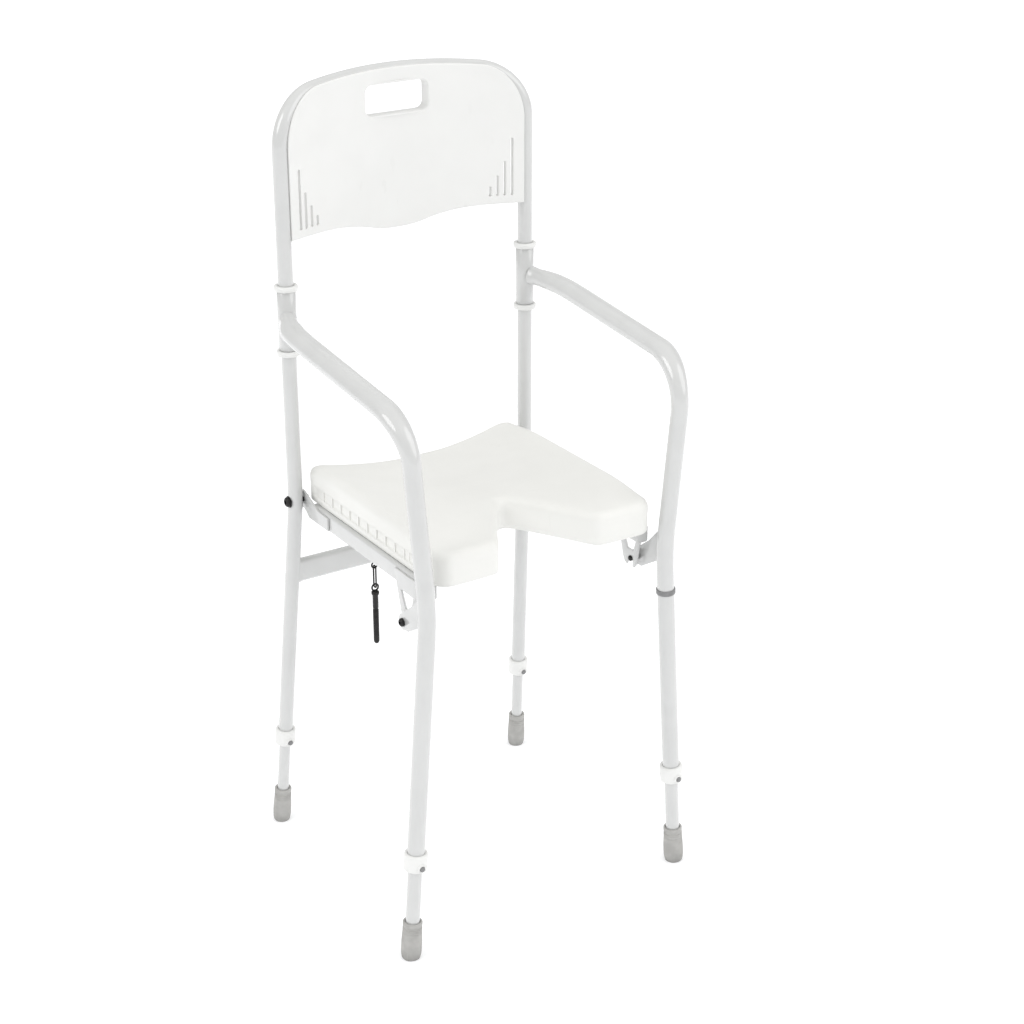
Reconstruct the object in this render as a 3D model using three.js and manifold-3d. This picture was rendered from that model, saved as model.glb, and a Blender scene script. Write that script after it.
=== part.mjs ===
// Shower chair with armrests: a bent steel tube frame, a moulded back panel in a tube hoop, a moulded
// seat that tips up on two rear bolts, and four legs whose lower ends slide for height.
// Millimetres, +Z up. The sitter faces -Y, so the sitter's right is -X and the sitter's left is +X.
// The origin is on the floor under the middle of the chair.
import * as THREE from 'three';
import { mergeVertices } from 'three/addons/utils/BufferGeometryUtils.js';
import Module from 'manifold-3d';

const wasm = await Module();
wasm.setup();

// ---------- driving dimensions ----------
const GAP = 0.3; // free space between pieces that touch
const TUBE_SIDES = 12;
const SIDES = [['right', -1], ['left', 1]];

const REAR_TUBE = { radius: 11, bore: 9.5, kinkReach: 28 };
const FRONT_TUBE = { radius: 12.5, bore: 11, kinkReach: 40 };
const POST = { x: 200, y: 157.5 }; // upright part of the rear tube
const PIVOT = { y: 158, z: 567 }; // axis on which the seat tips up, and kink of the rear tube
const REAR_FOOT = { x: 221.8, y: 215 };
const KNEE = { x: 196.3, y: -216, z: 535 }; // kink of the front tube beside the seat
const FRONT_FOOT = { x: 233.8, y: -215 };

const HOOP = { jointZ: 845, cornerX: 125, cornerZ: 1086, cornerRadius: 75, cornerSweep: 1.449, bow: 42 };
const ARM = {
  x: 222, bendRadius: 72, bendZ: 744.3, bendX: 215, slope: 0.096,
  halfWidth: 18, halfHeight: 13, weldTurn: 0.35,
};
const SLEEVE = { bottom: 801, top: 888, bore: 11.6, radius: 13.6, collarHeight: 8, collarRadius: 17.2 };
const STOP_RING = { bottom: 465, top: 473, radius: 14.1 };
const CROSSBAR = { y: 169.6, z: 448, halfLength: 192, halfWidth: 7, halfHeight: 18.5, wall: 1.5 };

const SEAT = {
  halfWidth: 178, front: -215, rearMid: 153, rearCorner: 170, cornerRadius: 25,
  top: 613, bottom: 566, edgeRadius: 13, wall: 4, ribBottom: 590,
  recessApex: -92, recessSlope: 1.89, recessRadius: 18,
};
const RAIL = {
  inner: 166.7, outer: 184.7, bottom: 540, top: 565, front: -190, rear: 135, wall: 1.5, corner: 3.2,
};
const PLATE = { inner: 185.1, outer: 188.1 }; // steel plates on the outer face of each rail
const PEG = { y: -150, z: 497, radius: 4 }; // front bolts that the seat's hangers rest on

const COLLAR = { bottom: 146, tubeEnd: 162, top: 172 }; // heights along the leg from its foot
const INNER_LEG = { bottom: 8.3, top: 300, wall: 1.4, holePitch: 25, holeCount: 5, holeRadius: 3.4 };
const FERRULE_TOP = 60;
const BUTTON = { height: 154, radius: 3.8, inside: 1.6, proud: 4.5 };

// ---------- finishes ----------
function finish(color, roughness, metalness) {
  return new THREE.MeshStandardMaterial({ color, roughness, metalness });
}

const WHITE_COAT = finish(0xf2f2f0, 0.3, 0.1);
const WHITE_PLASTIC = finish(0xefefec, 0.45, 0);
const SEAT_PLASTIC = finish(0xe9e9e5, 0.5, 0);
const BLACK_STEEL = finish(0x1e1e1f, 0.4, 0.6);
const DARK_PLASTIC = finish(0x4c4c50, 0.5, 0);
const GREY_RUBBER = finish(0xb5b4b0, 0.85, 0);
const ZINC = finish(0xb9bcbd, 0.35, 0.9);

// ---------- solids ----------
const vector = (x, y, z) => new THREE.Vector3(x, y, z);

function solidOf(geometry) {
  const bare = geometry.clone();
  bare.deleteAttribute('normal');
  bare.deleteAttribute('uv');
  const merged = mergeVertices(bare, 1e-4);
  const mesh = new wasm.Mesh({
    numProp: 3,
    vertProperties: new Float32Array(merged.attributes.position.array),
    triVerts: new Uint32Array(merged.index.array),
  });
  return new wasm.Manifold(mesh);
}

function geometryOf(solid) {
  const mesh = solid.getMesh();
  const geometry = new THREE.BufferGeometry();
  geometry.setAttribute('position', new THREE.BufferAttribute(new Float32Array(mesh.vertProperties), 3));
  geometry.setIndex(new THREE.BufferAttribute(new Uint32Array(mesh.triVerts), 1));
  geometry.computeVertexNormals();
  return geometry;
}

const join = (...geometries) => geometryOf(geometries.map(solidOf).reduce((a, b) => a.add(b)));
const cut = (geometry, ...tools) =>
  geometryOf(tools.map(solidOf).reduce((a, b) => a.subtract(b), solidOf(geometry)));
const common = (a, b) => geometryOf(solidOf(a).intersect(solidOf(b)));

function box(x0, x1, y0, y1, z0, z1) {
  const geometry = new THREE.BoxGeometry(x1 - x0, y1 - y0, z1 - z0);
  return geometry.translate((x0 + x1) / 2, (y0 + y1) / 2, (z0 + z1) / 2);
}

// A cylinder along X between x0 and x1, centred on the given y and z.
function rodX(x0, x1, y, z, radius, sides = 12) {
  const rod = new THREE.CylinderGeometry(radius, radius, Math.abs(x1 - x0), sides);
  return rod.rotateZ(Math.PI / 2).translate((x0 + x1) / 2, y, z);
}

// A body of revolution about Z from [radius, height] pairs that go up the outside.
function lathe(profile, sides = TUBE_SIDES) {
  const points = profile.map(([r, z]) => new THREE.Vector2(r, z));
  return new THREE.LatheGeometry(points, sides).rotateX(Math.PI / 2);
}

// A ring about Z: the profile runs round a rectangle and closes on itself.
function ring(inner, outer, bottom, top, sides = TUBE_SIDES) {
  return lathe([[inner, bottom], [outer, bottom], [outer, top], [inner, top], [inner, bottom]], sides);
}

// A plate of an outline in the Y-Z plane, between two distances from the middle of the chair.
function sidePlate(shape, side, inner, outer) {
  const settings = { depth: outer - inner, bevelEnabled: false, curveSegments: 5 };
  const plate = new THREE.ExtrudeGeometry(shape, settings);
  plate.applyMatrix4(new THREE.Matrix4().makeBasis(vector(0, 1, 0), vector(0, 0, 1), vector(1, 0, 0)));
  return plate.translate(side > 0 ? inner : -outer, 0, 0);
}

// A body swept along stations. Each ring is an ellipse with half axes sizeAt(i) = [along side, across],
// and side is the direction that the first half axis follows, so the section doesn't twist.
function sweep(stations, side, sizeAt, boreAt = null) {
  const n = stations.length;
  const rings = boreAt ? [sizeAt, boreAt] : [sizeAt];
  const positions = [];
  for (const ringSize of rings) {
    stations.forEach((centre, i) => {
      const before = stations[Math.max(i - 1, 0)];
      const after = stations[Math.min(i + 1, n - 1)];
      const toBefore = centre.clone().sub(before).normalize();
      const toAfter = after.clone().sub(centre).normalize();
      const tangent = toBefore.add(toAfter).normalize();
      const a = side.clone().addScaledVector(tangent, -side.dot(tangent)).normalize();
      const b = tangent.clone().cross(a);
      const [halfA, halfB] = ringSize(i);
      for (let k = 0; k < TUBE_SIDES; k++) {
        const angle = (2 * Math.PI * k) / TUBE_SIDES;
        const point = centre.clone().addScaledVector(a, halfA * Math.cos(angle));
        positions.push(...point.addScaledVector(b, halfB * Math.sin(angle)).toArray());
      }
    });
  }
  const at = (layer, i, k) => (layer * n + i) * TUBE_SIDES + (k % TUBE_SIDES);
  const faces = [];
  const quad = (p, q, r, s) => faces.push(p, q, r, q, s, r);
  for (let k = 0; k < TUBE_SIDES; k++) {
    for (let i = 0; i + 1 < n; i++) {
      quad(at(0, i, k), at(0, i, k + 1), at(0, i + 1, k), at(0, i + 1, k + 1));
      if (boreAt) quad(at(1, i, k + 1), at(1, i, k), at(1, i + 1, k + 1), at(1, i + 1, k));
    }
    if (boreAt) {
      quad(at(0, 0, k), at(1, 0, k), at(0, 0, k + 1), at(1, 0, k + 1));
      quad(at(1, n - 1, k), at(0, n - 1, k), at(1, n - 1, k + 1), at(0, n - 1, k + 1));
    } else if (k > 0) {
      faces.push(at(0, 0, 0), at(0, 0, k + 1), at(0, 0, k));
      faces.push(at(0, n - 1, 0), at(0, n - 1, k), at(0, n - 1, k + 1));
    }
  }
  const geometry = new THREE.BufferGeometry();
  geometry.setAttribute('position', new THREE.BufferAttribute(new Float32Array(positions), 3));
  const whole = faces.length / 3;
  const kept = [];
  for (let f = 0; f < whole; f++) {
    const [p, q, r] = faces.slice(3 * f, 3 * f + 3);
    if (p !== q && q !== r && r !== p) kept.push(p, q, r);
  }
  geometry.setIndex(kept);
  return geometry;
}

// ---------- shared lines of the frame ----------
const bowAt = (x) => POST.y + HOOP.bow * (1 - (x / POST.x) ** 2);
const rearFoot = (side) => vector(side * REAR_FOOT.x, REAR_FOOT.y, 0);
const frontFoot = (side) => vector(side * FRONT_FOOT.x, FRONT_FOOT.y, 0);
const rearKink = (side) => vector(side * POST.x, POST.y, PIVOT.z);
const frontKink = (side) => vector(side * KNEE.x, KNEE.y, KNEE.z);

// A point a given distance from one point towards another.
function along(from, to, distance) {
  return from.clone().add(to.clone().sub(from).setLength(distance));
}

// Stations that round the corner at a kink, from reach before it to reach after it.
function roundKink(before, kink, after, reach, count) {
  const [start, end] = [along(kink, before, reach), along(kink, after, reach)];
  return new THREE.QuadraticBezierCurve3(start, kink, end).getPoints(count);
}

// ---------- frame ----------
function rearLegTube(side) {
  const top = vector(side * POST.x, POST.y, HOOP.jointZ - GAP / 2);
  const kink = rearKink(side);
  const foot = rearFoot(side);
  const rounded = roundKink(top, kink, foot, REAR_TUBE.kinkReach, 3);
  const stations = [top, ...rounded, along(foot, kink, COLLAR.tubeEnd)];
  const tube = sweep(stations, vector(0, 1, 0), () => [REAR_TUBE.radius, REAR_TUBE.radius],
    () => [REAR_TUBE.bore, REAR_TUBE.bore]);
  return cut(tube, rodX(side * 180, side * 220, PIVOT.y, PIVOT.z, 4.5));
}

// The centre line of the hoop above the joint: uprights, round corners and a slightly crowned top.
function hoopStations() {
  const flat = [[POST.x, HOOP.jointZ + GAP / 2], [POST.x, 960]];
  for (let i = 0; i <= 6; i++) {
    const angle = (HOOP.cornerSweep * i) / 6;
    const [across, up] = [Math.cos(angle) * HOOP.cornerRadius, Math.sin(angle) * HOOP.cornerRadius];
    flat.push([HOOP.cornerX + across, HOOP.cornerZ + up]);
  }
  const [endX, endZ] = flat[flat.length - 1];
  const crown = (endX / 2) * Math.tan(Math.PI / 2 - HOOP.cornerSweep);
  for (const part of [0.75, 0.5, 0.25]) flat.push([endX * part, endZ + crown * (1 - part ** 2)]);
  const half = flat.map(([x, z]) => vector(x, bowAt(x), z));
  const mirrored = half.map((p) => vector(-p.x, p.y, p.z));
  return [...half, vector(0, bowAt(0), endZ + crown), ...mirrored.reverse()];
}

const PANEL_SCREWS = [985, 1062];

function backHoopTube() {
  const tube = sweep(hoopStations(), vector(0, 1, 0), () => [REAR_TUBE.radius, REAR_TUBE.radius],
    () => [REAR_TUBE.bore, REAR_TUBE.bore]);
  const holes = SIDES.flatMap(([, side]) =>
    PANEL_SCREWS.map((z) => rodX(side * 184, side * 195, POST.y, z, 2.3)));
  return cut(tube, ...holes);
}

// Armrest, front bend and front leg in one bent tube. The armrest is pressed to a flat oval.
function armLegStations(side) {
  const start = SLEEVE.radius + 1.4;
  const turn = ARM.weldTurn;
  const rearPoints = [
    vector(POST.x + start * Math.sin(turn), POST.y - start * Math.cos(turn), 846),
    vector(212.5, 124, 844.5),
    vector(218.6, 101, 842.8),
    vector(221.4, 74, 840.6),
    vector(ARM.x, 40, 837),
  ];
  const bendY = KNEE.y + ARM.bendRadius;
  const bend = [];
  for (let i = 0; i <= 6; i++) {
    const angle = ARM.slope + ((Math.PI / 2 - ARM.slope) * i) / 6;
    const lean = 0.5 - 0.5 * Math.cos((Math.PI * i) / 6);
    bend.push(vector(ARM.x + (ARM.bendX - ARM.x) * lean,
      bendY - ARM.bendRadius * Math.sin(angle), ARM.bendZ + ARM.bendRadius * Math.cos(angle)));
  }
  const bendEnd = bend[bend.length - 1];
  const kneeBend = roundKink(bendEnd, frontKink(1), frontFoot(1), FRONT_TUBE.kinkReach, 4);
  const end = along(frontFoot(1), frontKink(1), COLLAR.tubeEnd);
  const all = [...rearPoints, vector(ARM.x, -55, 826.5), ...bend, ...kneeBend, end];
  return all.map((p) => vector(side * p.x, p.y, p.z));
}

function armLegTube(side) {
  const stations = armLegStations(side);
  const bendStart = 6;
  const oval = (i) => {
    const round = THREE.MathUtils.smoothstep(i, bendStart, bendStart + 6);
    const ends = THREE.MathUtils.smoothstep(i, 0, 2);
    const wide = FRONT_TUBE.radius + (ARM.halfWidth - FRONT_TUBE.radius) * (1 - round) * ends;
    const high = FRONT_TUBE.radius + (ARM.halfHeight - FRONT_TUBE.radius) * (1 - round) * ends;
    return [wide, high];
  };
  const wall = FRONT_TUBE.radius - FRONT_TUBE.bore;
  return sweep(stations, vector(1, 0, 0), oval, (i) => oval(i).map((half) => half - wall));
}

function sleeveCollar(bottom) {
  const top = bottom + SLEEVE.collarHeight;
  const rim = SLEEVE.collarRadius;
  return lathe([[SLEEVE.bore, bottom], [rim - 1.2, bottom], [rim, bottom + 2], [rim, top - 2],
    [rim - 1.2, top], [SLEEVE.bore, top], [SLEEVE.bore, bottom]]);
}

function ovalTube(halfWidth, halfHeight, wall) {
  const outline = (inset) => {
    const path = new THREE.Path();
    const r = halfWidth - inset;
    const straight = halfHeight - halfWidth;
    path.absarc(0, straight, r, 0, Math.PI, false);
    path.absarc(0, -straight, r, Math.PI, 2 * Math.PI, false);
    path.closePath();
    return path;
  };
  const shape = new THREE.Shape(outline(0).getPoints(6));
  shape.holes.push(new THREE.Path(outline(wall).getPoints(6)));
  return shape;
}

function rearCrossbar() {
  const { halfWidth, halfHeight, wall, halfLength, y, z } = CROSSBAR;
  const section = ovalTube(halfWidth, halfHeight, wall);
  const bar = new THREE.ExtrudeGeometry(section, { depth: 2 * halfLength, bevelEnabled: false });
  bar.applyMatrix4(new THREE.Matrix4().makeBasis(vector(0, 1, 0), vector(0, 0, 1), vector(1, 0, 0)));
  return bar.translate(-halfLength, y, z);
}

// ---------- back panel ----------
const PANEL = {
  halfWidth: 188.2, bottom: 960, topCover: 18, sideCover: 4,
  skinFront: -15, skinBack: -11.9, rimBack: 5, rimWall: 3,
  hole: { halfWidth: 51, bottom: 1109, top: 1153, radius: 11 },
  slotPitch: 10.5, slotBottom: 972, slotFirst: 143, slotCount: 4, discZ: 1093, discRadius: 178,
};

// The panel's outline in front view. The covers are how far it reaches past the hoop's inner edge.
function panelOutline(inset, topCover, sideCover) {
  const w = PANEL.halfWidth + sideCover - inset;
  const rx = w - HOOP.cornerX;
  const rz = HOOP.cornerRadius - REAR_TUBE.radius - 0.8 + topCover - inset;
  const sweepEnd = HOOP.cornerSweep;
  const endX = HOOP.cornerX + rx * Math.cos(sweepEnd);
  const endZ = HOOP.cornerZ + rz * Math.sin(sweepEnd);
  const crown = endX * Math.tan(Math.PI / 2 - sweepEnd);
  const base = PANEL.bottom + inset;
  const shape = new THREE.Shape();
  shape.moveTo(-w, base);
  const belly = [[-110, 1], [-64, 7], [-30, 15], [0, 17], [30, 15], [64, 7], [110, 1], [w, 0]];
  shape.splineThru(belly.map(([x, drop]) => new THREE.Vector2(x, base - drop)));
  shape.lineTo(w, HOOP.cornerZ);
  shape.absellipse(HOOP.cornerX, HOOP.cornerZ, rx, rz, 0, sweepEnd, false);
  shape.quadraticCurveTo(0, endZ + crown, -endX, endZ);
  shape.absellipse(-HOOP.cornerX, HOOP.cornerZ, rx, rz, Math.PI - sweepEnd, Math.PI, false);
  shape.lineTo(-w, base);
  return shape;
}

function roundedRectangle(x0, x1, z0, z1, r, Kind = THREE.Path) {
  const path = new Kind();
  path.absarc(x1 - r, z1 - r, r, 0, Math.PI / 2, false);
  path.absarc(x0 + r, z1 - r, r, Math.PI / 2, Math.PI, false);
  path.absarc(x0 + r, z0 + r, r, Math.PI, 1.5 * Math.PI, false);
  path.absarc(x1 - r, z0 + r, r, 1.5 * Math.PI, 2 * Math.PI, false);
  path.closePath();
  return path;
}

// A front-view outline pushed through the whole depth of the panel.
function throughPanel(shape, curveSegments = 3) {
  const block = new THREE.ExtrudeGeometry(shape, { depth: 130, bevelEnabled: false, curveSegments });
  return block.rotateX(Math.PI / 2).translate(0, 240, 0);
}

// A band that follows the bow of the hoop, between two offsets from its centre line.
function bowedBand(front, back) {
  const count = 12;
  const xs = Array.from({ length: count + 1 }, (_, i) => -200 + (400 * i) / count);
  const shape = new THREE.Shape(xs.map((x) => new THREE.Vector2(x, bowAt(x) + front)));
  [...xs].reverse().forEach((x) => shape.lineTo(x, bowAt(x) + back));
  return new THREE.ExtrudeGeometry(shape, { depth: 320, bevelEnabled: false }).translate(0, 0, 900);
}

// Slots whose tops lie on a circle, so that a plain disc is left in the middle of the panel.
function panelSlots() {
  const slots = [];
  for (const [, side] of SIDES) {
    for (let i = 0; i < PANEL.slotCount; i++) {
      const x = side * (PANEL.slotFirst + PANEL.slotPitch * i);
      const top = PANEL.discZ - Math.sqrt(PANEL.discRadius ** 2 - x ** 2);
      slots.push(box(x - 2, x + 2, 100, 240, PANEL.slotBottom, top));
    }
  }
  return slots;
}

function backPanel() {
  const hole = PANEL.hole;
  const holePath = (grow, Kind) => roundedRectangle(-hole.halfWidth - grow, hole.halfWidth + grow,
    hole.bottom - grow, hole.top + grow, hole.radius + grow, Kind);
  const front = panelOutline(0, PANEL.topCover, PANEL.sideCover);
  front.holes.push(holePath(0));
  const skin = common(throughPanel(front), bowedBand(PANEL.skinFront, PANEL.skinBack));
  const rimShape = panelOutline(0, 0, 0);
  rimShape.holes.push(panelOutline(PANEL.rimWall, 0, 0));
  const holeWall = holePath(PANEL.rimWall, THREE.Shape);
  holeWall.holes.push(holePath(0));
  const rimBand = bowedBand(PANEL.skinBack - 1, PANEL.rimBack);
  const rim = common(throughPanel(rimShape), rimBand);
  const gripWall = common(throughPanel(holeWall), rimBand);
  const ribBand = bowedBand(PANEL.skinBack - 1, -2);
  const ribs = [-96, -32, 32, 96].map((x) => box(x - 1.2, x + 1.2, 100, 240, 930, hole.bottom - 1));
  const crossRib = box(-187, 187, 100, 240, 1088, 1090.4);
  const inside = throughPanel(panelOutline(1, 0, 0));
  const ribWork = common(common(join(...ribs, crossRib), ribBand), inside);
  const whole = join(skin, rim, gripWall, ribWork);
  const screwHoles = SIDES.flatMap(([, side]) =>
    PANEL_SCREWS.map((z) => rodX(side * 180, side * 192, POST.y, z, 2.3)));
  return cut(whole, ...screwHoles, ...panelSlots());
}

function panelScrew(side, z) {
  const shank = rodX(side * 184, side * 193, POST.y, z, 1.8);
  const head = rodX(side * 182, side * 184.7, POST.y, z, 3.6);
  return join(shank, head);
}

// ---------- seat ----------
// Plan outline: front edge with a rounded V recess, and a rear edge that is drawn in at the middle.
function cornerLoss(x, halfWidth, radius) {
  const past = Math.max(Math.abs(x) - (halfWidth - radius), 0);
  return radius - Math.sqrt(Math.max(radius ** 2 - past ** 2, 0));
}

function seatFrontAt(x, inset, halfWidth, radius) {
  const steep = Math.sqrt(1 + SEAT.recessSlope ** 2);
  const recess = SEAT.recessApex + inset * steep
    - SEAT.recessSlope * (Math.sqrt(x ** 2 + SEAT.recessRadius ** 2) - SEAT.recessRadius);
  const straight = SEAT.front + inset;
  const blend = (recess + straight + Math.sqrt((recess - straight) ** 2 + 90)) / 2;
  return blend + cornerLoss(x, halfWidth, radius);
}

function seatRearAt(x, inset, halfWidth, radius) {
  const share = Math.min(Math.abs(x) / 150, 1);
  const edge = SEAT.rearMid + (SEAT.rearCorner - SEAT.rearMid) * share ** 2;
  return edge - inset - cornerLoss(x, halfWidth, radius);
}

// Height of the sitting surface: raised along both sides and dipped towards the middle of the back.
function seatHeightAt(x, y) {
  const side = (x / SEAT.halfWidth) ** 2;
  const sideRise = 9 * side * (1 - THREE.MathUtils.smoothstep(Math.abs(y + 20), 90, 200));
  const rearDip = 13 * Math.max(1 - side * 1.2, 0) * THREE.MathUtils.smoothstep(y, -70, 110);
  return SEAT.top + sideRise - rearDip;
}

// Drop of the surface near an edge, as a quarter round.
function edgeDrop(distance, radius) {
  const inside = Math.min(Math.max(distance, 0), radius);
  return radius - Math.sqrt(radius ** 2 - (radius - inside) ** 2);
}

function seatBody(inset, sink, bottom, columns, rows) {
  const halfWidth = SEAT.halfWidth - inset;
  const radius = SEAT.cornerRadius - inset / 2;
  const round = SEAT.edgeRadius - inset;
  const half = columns.map((share) => share * halfWidth);
  const xs = [...half.map((x) => -x).reverse(), 0, ...half];
  const top = [];
  const base = [];
  for (const x of xs) {
    const front = seatFrontAt(x, inset, halfWidth, radius);
    const rear = seatRearAt(x, inset, halfWidth, radius);
    for (const share of rows) {
      const y = front + (rear - front) * share;
      const slant = Math.abs(x) < 90 ? 0.55 : 1;
      const toEdge = Math.min(halfWidth - Math.abs(x), (y - front) * slant, rear - y);
      top.push(vector(x, y, seatHeightAt(x, y) - sink - edgeDrop(toEdge, round)));
      base.push(vector(x, y, bottom));
    }
  }
  return closedGrid(top, base, xs.length, rows.length);
}

// A closed body from a top and a bottom grid with the same plan, walled round their edge.
function closedGrid(top, base, columns, rows) {
  const positions = [...top, ...base].flatMap((p) => p.toArray());
  const at = (layer, i, j) => layer * columns * rows + i * rows + j;
  const faces = [];
  for (let i = 0; i + 1 < columns; i++) {
    for (let j = 0; j + 1 < rows; j++) {
      faces.push(at(0, i, j), at(0, i + 1, j), at(0, i, j + 1));
      faces.push(at(0, i + 1, j), at(0, i + 1, j + 1), at(0, i, j + 1));
      faces.push(at(1, i, j), at(1, i, j + 1), at(1, i + 1, j));
      faces.push(at(1, i + 1, j), at(1, i, j + 1), at(1, i + 1, j + 1));
    }
  }
  const edge = [];
  for (let i = 0; i < columns; i++) edge.push([i, 0]);
  for (let j = 1; j < rows; j++) edge.push([columns - 1, j]);
  for (let i = columns - 2; i >= 0; i--) edge.push([i, rows - 1]);
  for (let j = rows - 2; j > 0; j--) edge.push([0, j]);
  edge.forEach(([i, j], k) => {
    const [i2, j2] = edge[(k + 1) % edge.length];
    faces.push(at(0, i, j), at(1, i, j), at(1, i2, j2), at(0, i, j), at(1, i2, j2), at(0, i2, j2));
  });
  const geometry = new THREE.BufferGeometry();
  geometry.setAttribute('position', new THREE.BufferAttribute(new Float32Array(positions), 3));
  geometry.setIndex(faces);
  return geometry;
}

const SEAT_SCREWS = { x: 172.7, y: [-125, 95] };

function seatShell() {
  const outer = seatBody(0, 0, SEAT.bottom, [0.08, 0.22, 0.37, 0.47, 0.62, 0.86, 0.95, 1],
    [0, 0.012, 0.04, 0.25, 0.6, 0.94, 0.98, 1]);
  const hollow = seatBody(SEAT.wall, SEAT.wall, SEAT.bottom - 5, [0.12, 0.3, 0.48, 0.86, 0.96, 1],
    [0, 0.03, 0.4, 0.96, 1]);
  const ribsAlong = [-105, 0, 105].map((x) => box(x - 1.3, x + 1.3, -230, 180, SEAT.ribBottom, 630));
  const ribsAcross = [-25, 70].map((y) => box(-180, 180, y - 1.3, y + 1.3, SEAT.ribBottom, 630));
  const bosses = SIDES.flatMap(([, side]) =>
    SEAT_SCREWS.y.map((y) => screwBoss(side * SEAT_SCREWS.x, y)));
  const inner = common(join(...ribsAlong, ...ribsAcross, ...bosses), outer);
  const pilots = SIDES.flatMap(([, side]) => SEAT_SCREWS.y.map((y) => screwHole(side, y, 560, 583)));
  return cut(join(cut(outer, hollow), inner), ...pilots);
}

const screwBoss = (x, y) => box(x - 7, x + 7, y - 8, y + 8, SEAT.bottom, 600);

function screwHole(side, y, bottom, top) {
  const hole = new THREE.CylinderGeometry(2.4, 2.4, top - bottom, 10);
  return hole.rotateX(Math.PI / 2).translate(side * SEAT_SCREWS.x, y, (bottom + top) / 2);
}

function seatScrew(side, y) {
  const profile = [[0, 536.6], [3.2, 537], [5, 539.7], [1.9, 539.7], [1.9, 581], [0, 581]];
  return lathe(profile, 10).translate(side * SEAT_SCREWS.x, y, 0);
}

function seatRail(side) {
  const outline = (inset, Kind) => roundedRectangle(RAIL.inner + inset, RAIL.outer - inset,
    RAIL.bottom + inset, RAIL.top - inset, RAIL.corner - inset, Kind);
  const shape = outline(0, THREE.Shape);
  shape.holes.push(outline(RAIL.wall));
  const length = RAIL.rear - RAIL.front;
  const rail = new THREE.ExtrudeGeometry(shape, { depth: length, bevelEnabled: false, curveSegments: 3 });
  rail.rotateX(Math.PI / 2).translate(0, RAIL.rear, 0);
  const placed = side > 0 ? rail : rail.applyMatrix4(new THREE.Matrix4().makeRotationZ(Math.PI))
    .translate(0, RAIL.rear + RAIL.front, 0);
  return cut(placed, ...SEAT_SCREWS.y.map((y) => screwHole(side, y, 530, 570)));
}

// Plate that carries the pivot above the rail's rear end.
function hingePlate(side) {
  const shape = new THREE.Shape();
  shape.moveTo(82, 543);
  shape.lineTo(140, 543);
  shape.absarc(PIVOT.y, PIVOT.z, 14, -1.9, 1.75, false);
  shape.lineTo(112, 563);
  shape.lineTo(82, 562);
  shape.closePath();
  const plate = sidePlate(shape, side, PLATE.inner, PLATE.outer);
  return cut(plate, rodX(side * 180, side * 195, PIVOT.y, PIVOT.z, 4.5));
}

// Hanger under the rail's front end, with a window and a mouth that drops over the front bolt.
function seatHanger(side) {
  const shape = new THREE.Shape();
  shape.moveTo(-178, 562);
  shape.lineTo(-163, 493);
  shape.lineTo(-158, 485);
  shape.lineTo(PEG.y - 4.7, 485);
  shape.lineTo(PEG.y - 4.7, PEG.z);
  shape.absarc(PEG.y, PEG.z, 4.7, Math.PI, 0, true);
  shape.lineTo(PEG.y + 9.5, 485);
  shape.lineTo(-136, 487);
  shape.lineTo(-131, 495);
  shape.lineTo(-112, 562);
  shape.closePath();
  const window = new THREE.Path();
  window.moveTo(-163, 536);
  window.lineTo(-156, 511);
  window.lineTo(-141, 511);
  window.lineTo(-129, 536);
  window.closePath();
  shape.holes.push(window);
  return sidePlate(shape, side, PLATE.inner, PLATE.outer);
}

// ---------- bolts and brackets ----------
function hingeBolt(side) {
  const head = lathe([[0, 0], [7.5, 0], [7.2, 2.6], [5.2, 4.6], [0, 5.4]], 12).rotateY(side * Math.PI / 2);
  head.translate(side * (POST.x + REAR_TUBE.radius + 0.4), PIVOT.y, PIVOT.z);
  const shank = rodX(side * 178.8, side * 212, PIVOT.y, PIVOT.z, 4);
  return join(head, shank);
}

function hingeNut(side) {
  const nut = rodX(side * 180, side * 184.7, PIVOT.y, PIVOT.z, 7.4, 6);
  return cut(nut, rodX(side * 178, side * 188, PIVOT.y, PIVOT.z, 4.4));
}

const BRACKET = { inner: 194.6, outer: 197.6 };

function frontBracket(side) {
  const shape = new THREE.Shape();
  shape.moveTo(-203.1, 512);
  shape.lineTo(-163, 487);
  shape.absarc(PEG.y, PEG.z, 12, -2.2, 1.2, false);
  shape.lineTo(-180, 535);
  shape.lineTo(-203.1, 560);
  shape.closePath();
  const plate = sidePlate(shape, side, BRACKET.inner, BRACKET.outer);
  return cut(plate, rodX(side * 190, side * 200, PEG.y, PEG.z, PEG.radius + 0.5));
}

function pegBolt(side) {
  const head = lathe([[0, 0], [6, 0], [5.8, 2.6], [4.2, 4.2], [0, 4.8]], 12).rotateY(side * Math.PI / 2);
  head.translate(side * (BRACKET.outer + GAP), PEG.y, PEG.z);
  return join(head, rodX(side * 182.5, side * 199, PEG.y, PEG.z, PEG.radius));
}

// ---------- lower legs, built upright on Z with the foot's centre at the origin ----------
function ferrule(bore, radius, standing) {
  const body = lathe([[0, -4], [radius - 3.5, -4], [radius - 0.6, 6], [radius, 14], [radius, 26],
    [radius - 1, 44], [radius - 1, 49], [radius - 2, 50.5], [radius - 2, 53], [radius - 1, 54.5],
    [radius - 1, FERRULE_TOP], [bore, FERRULE_TOP], [bore, INNER_LEG.bottom - GAP], [0, INNER_LEG.bottom - GAP]]);
  const belowFloor = box(-300, 300, -300, 300, -20, 0).applyMatrix4(standing.clone().invert());
  return cut(body, belowFloor);
}

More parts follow.
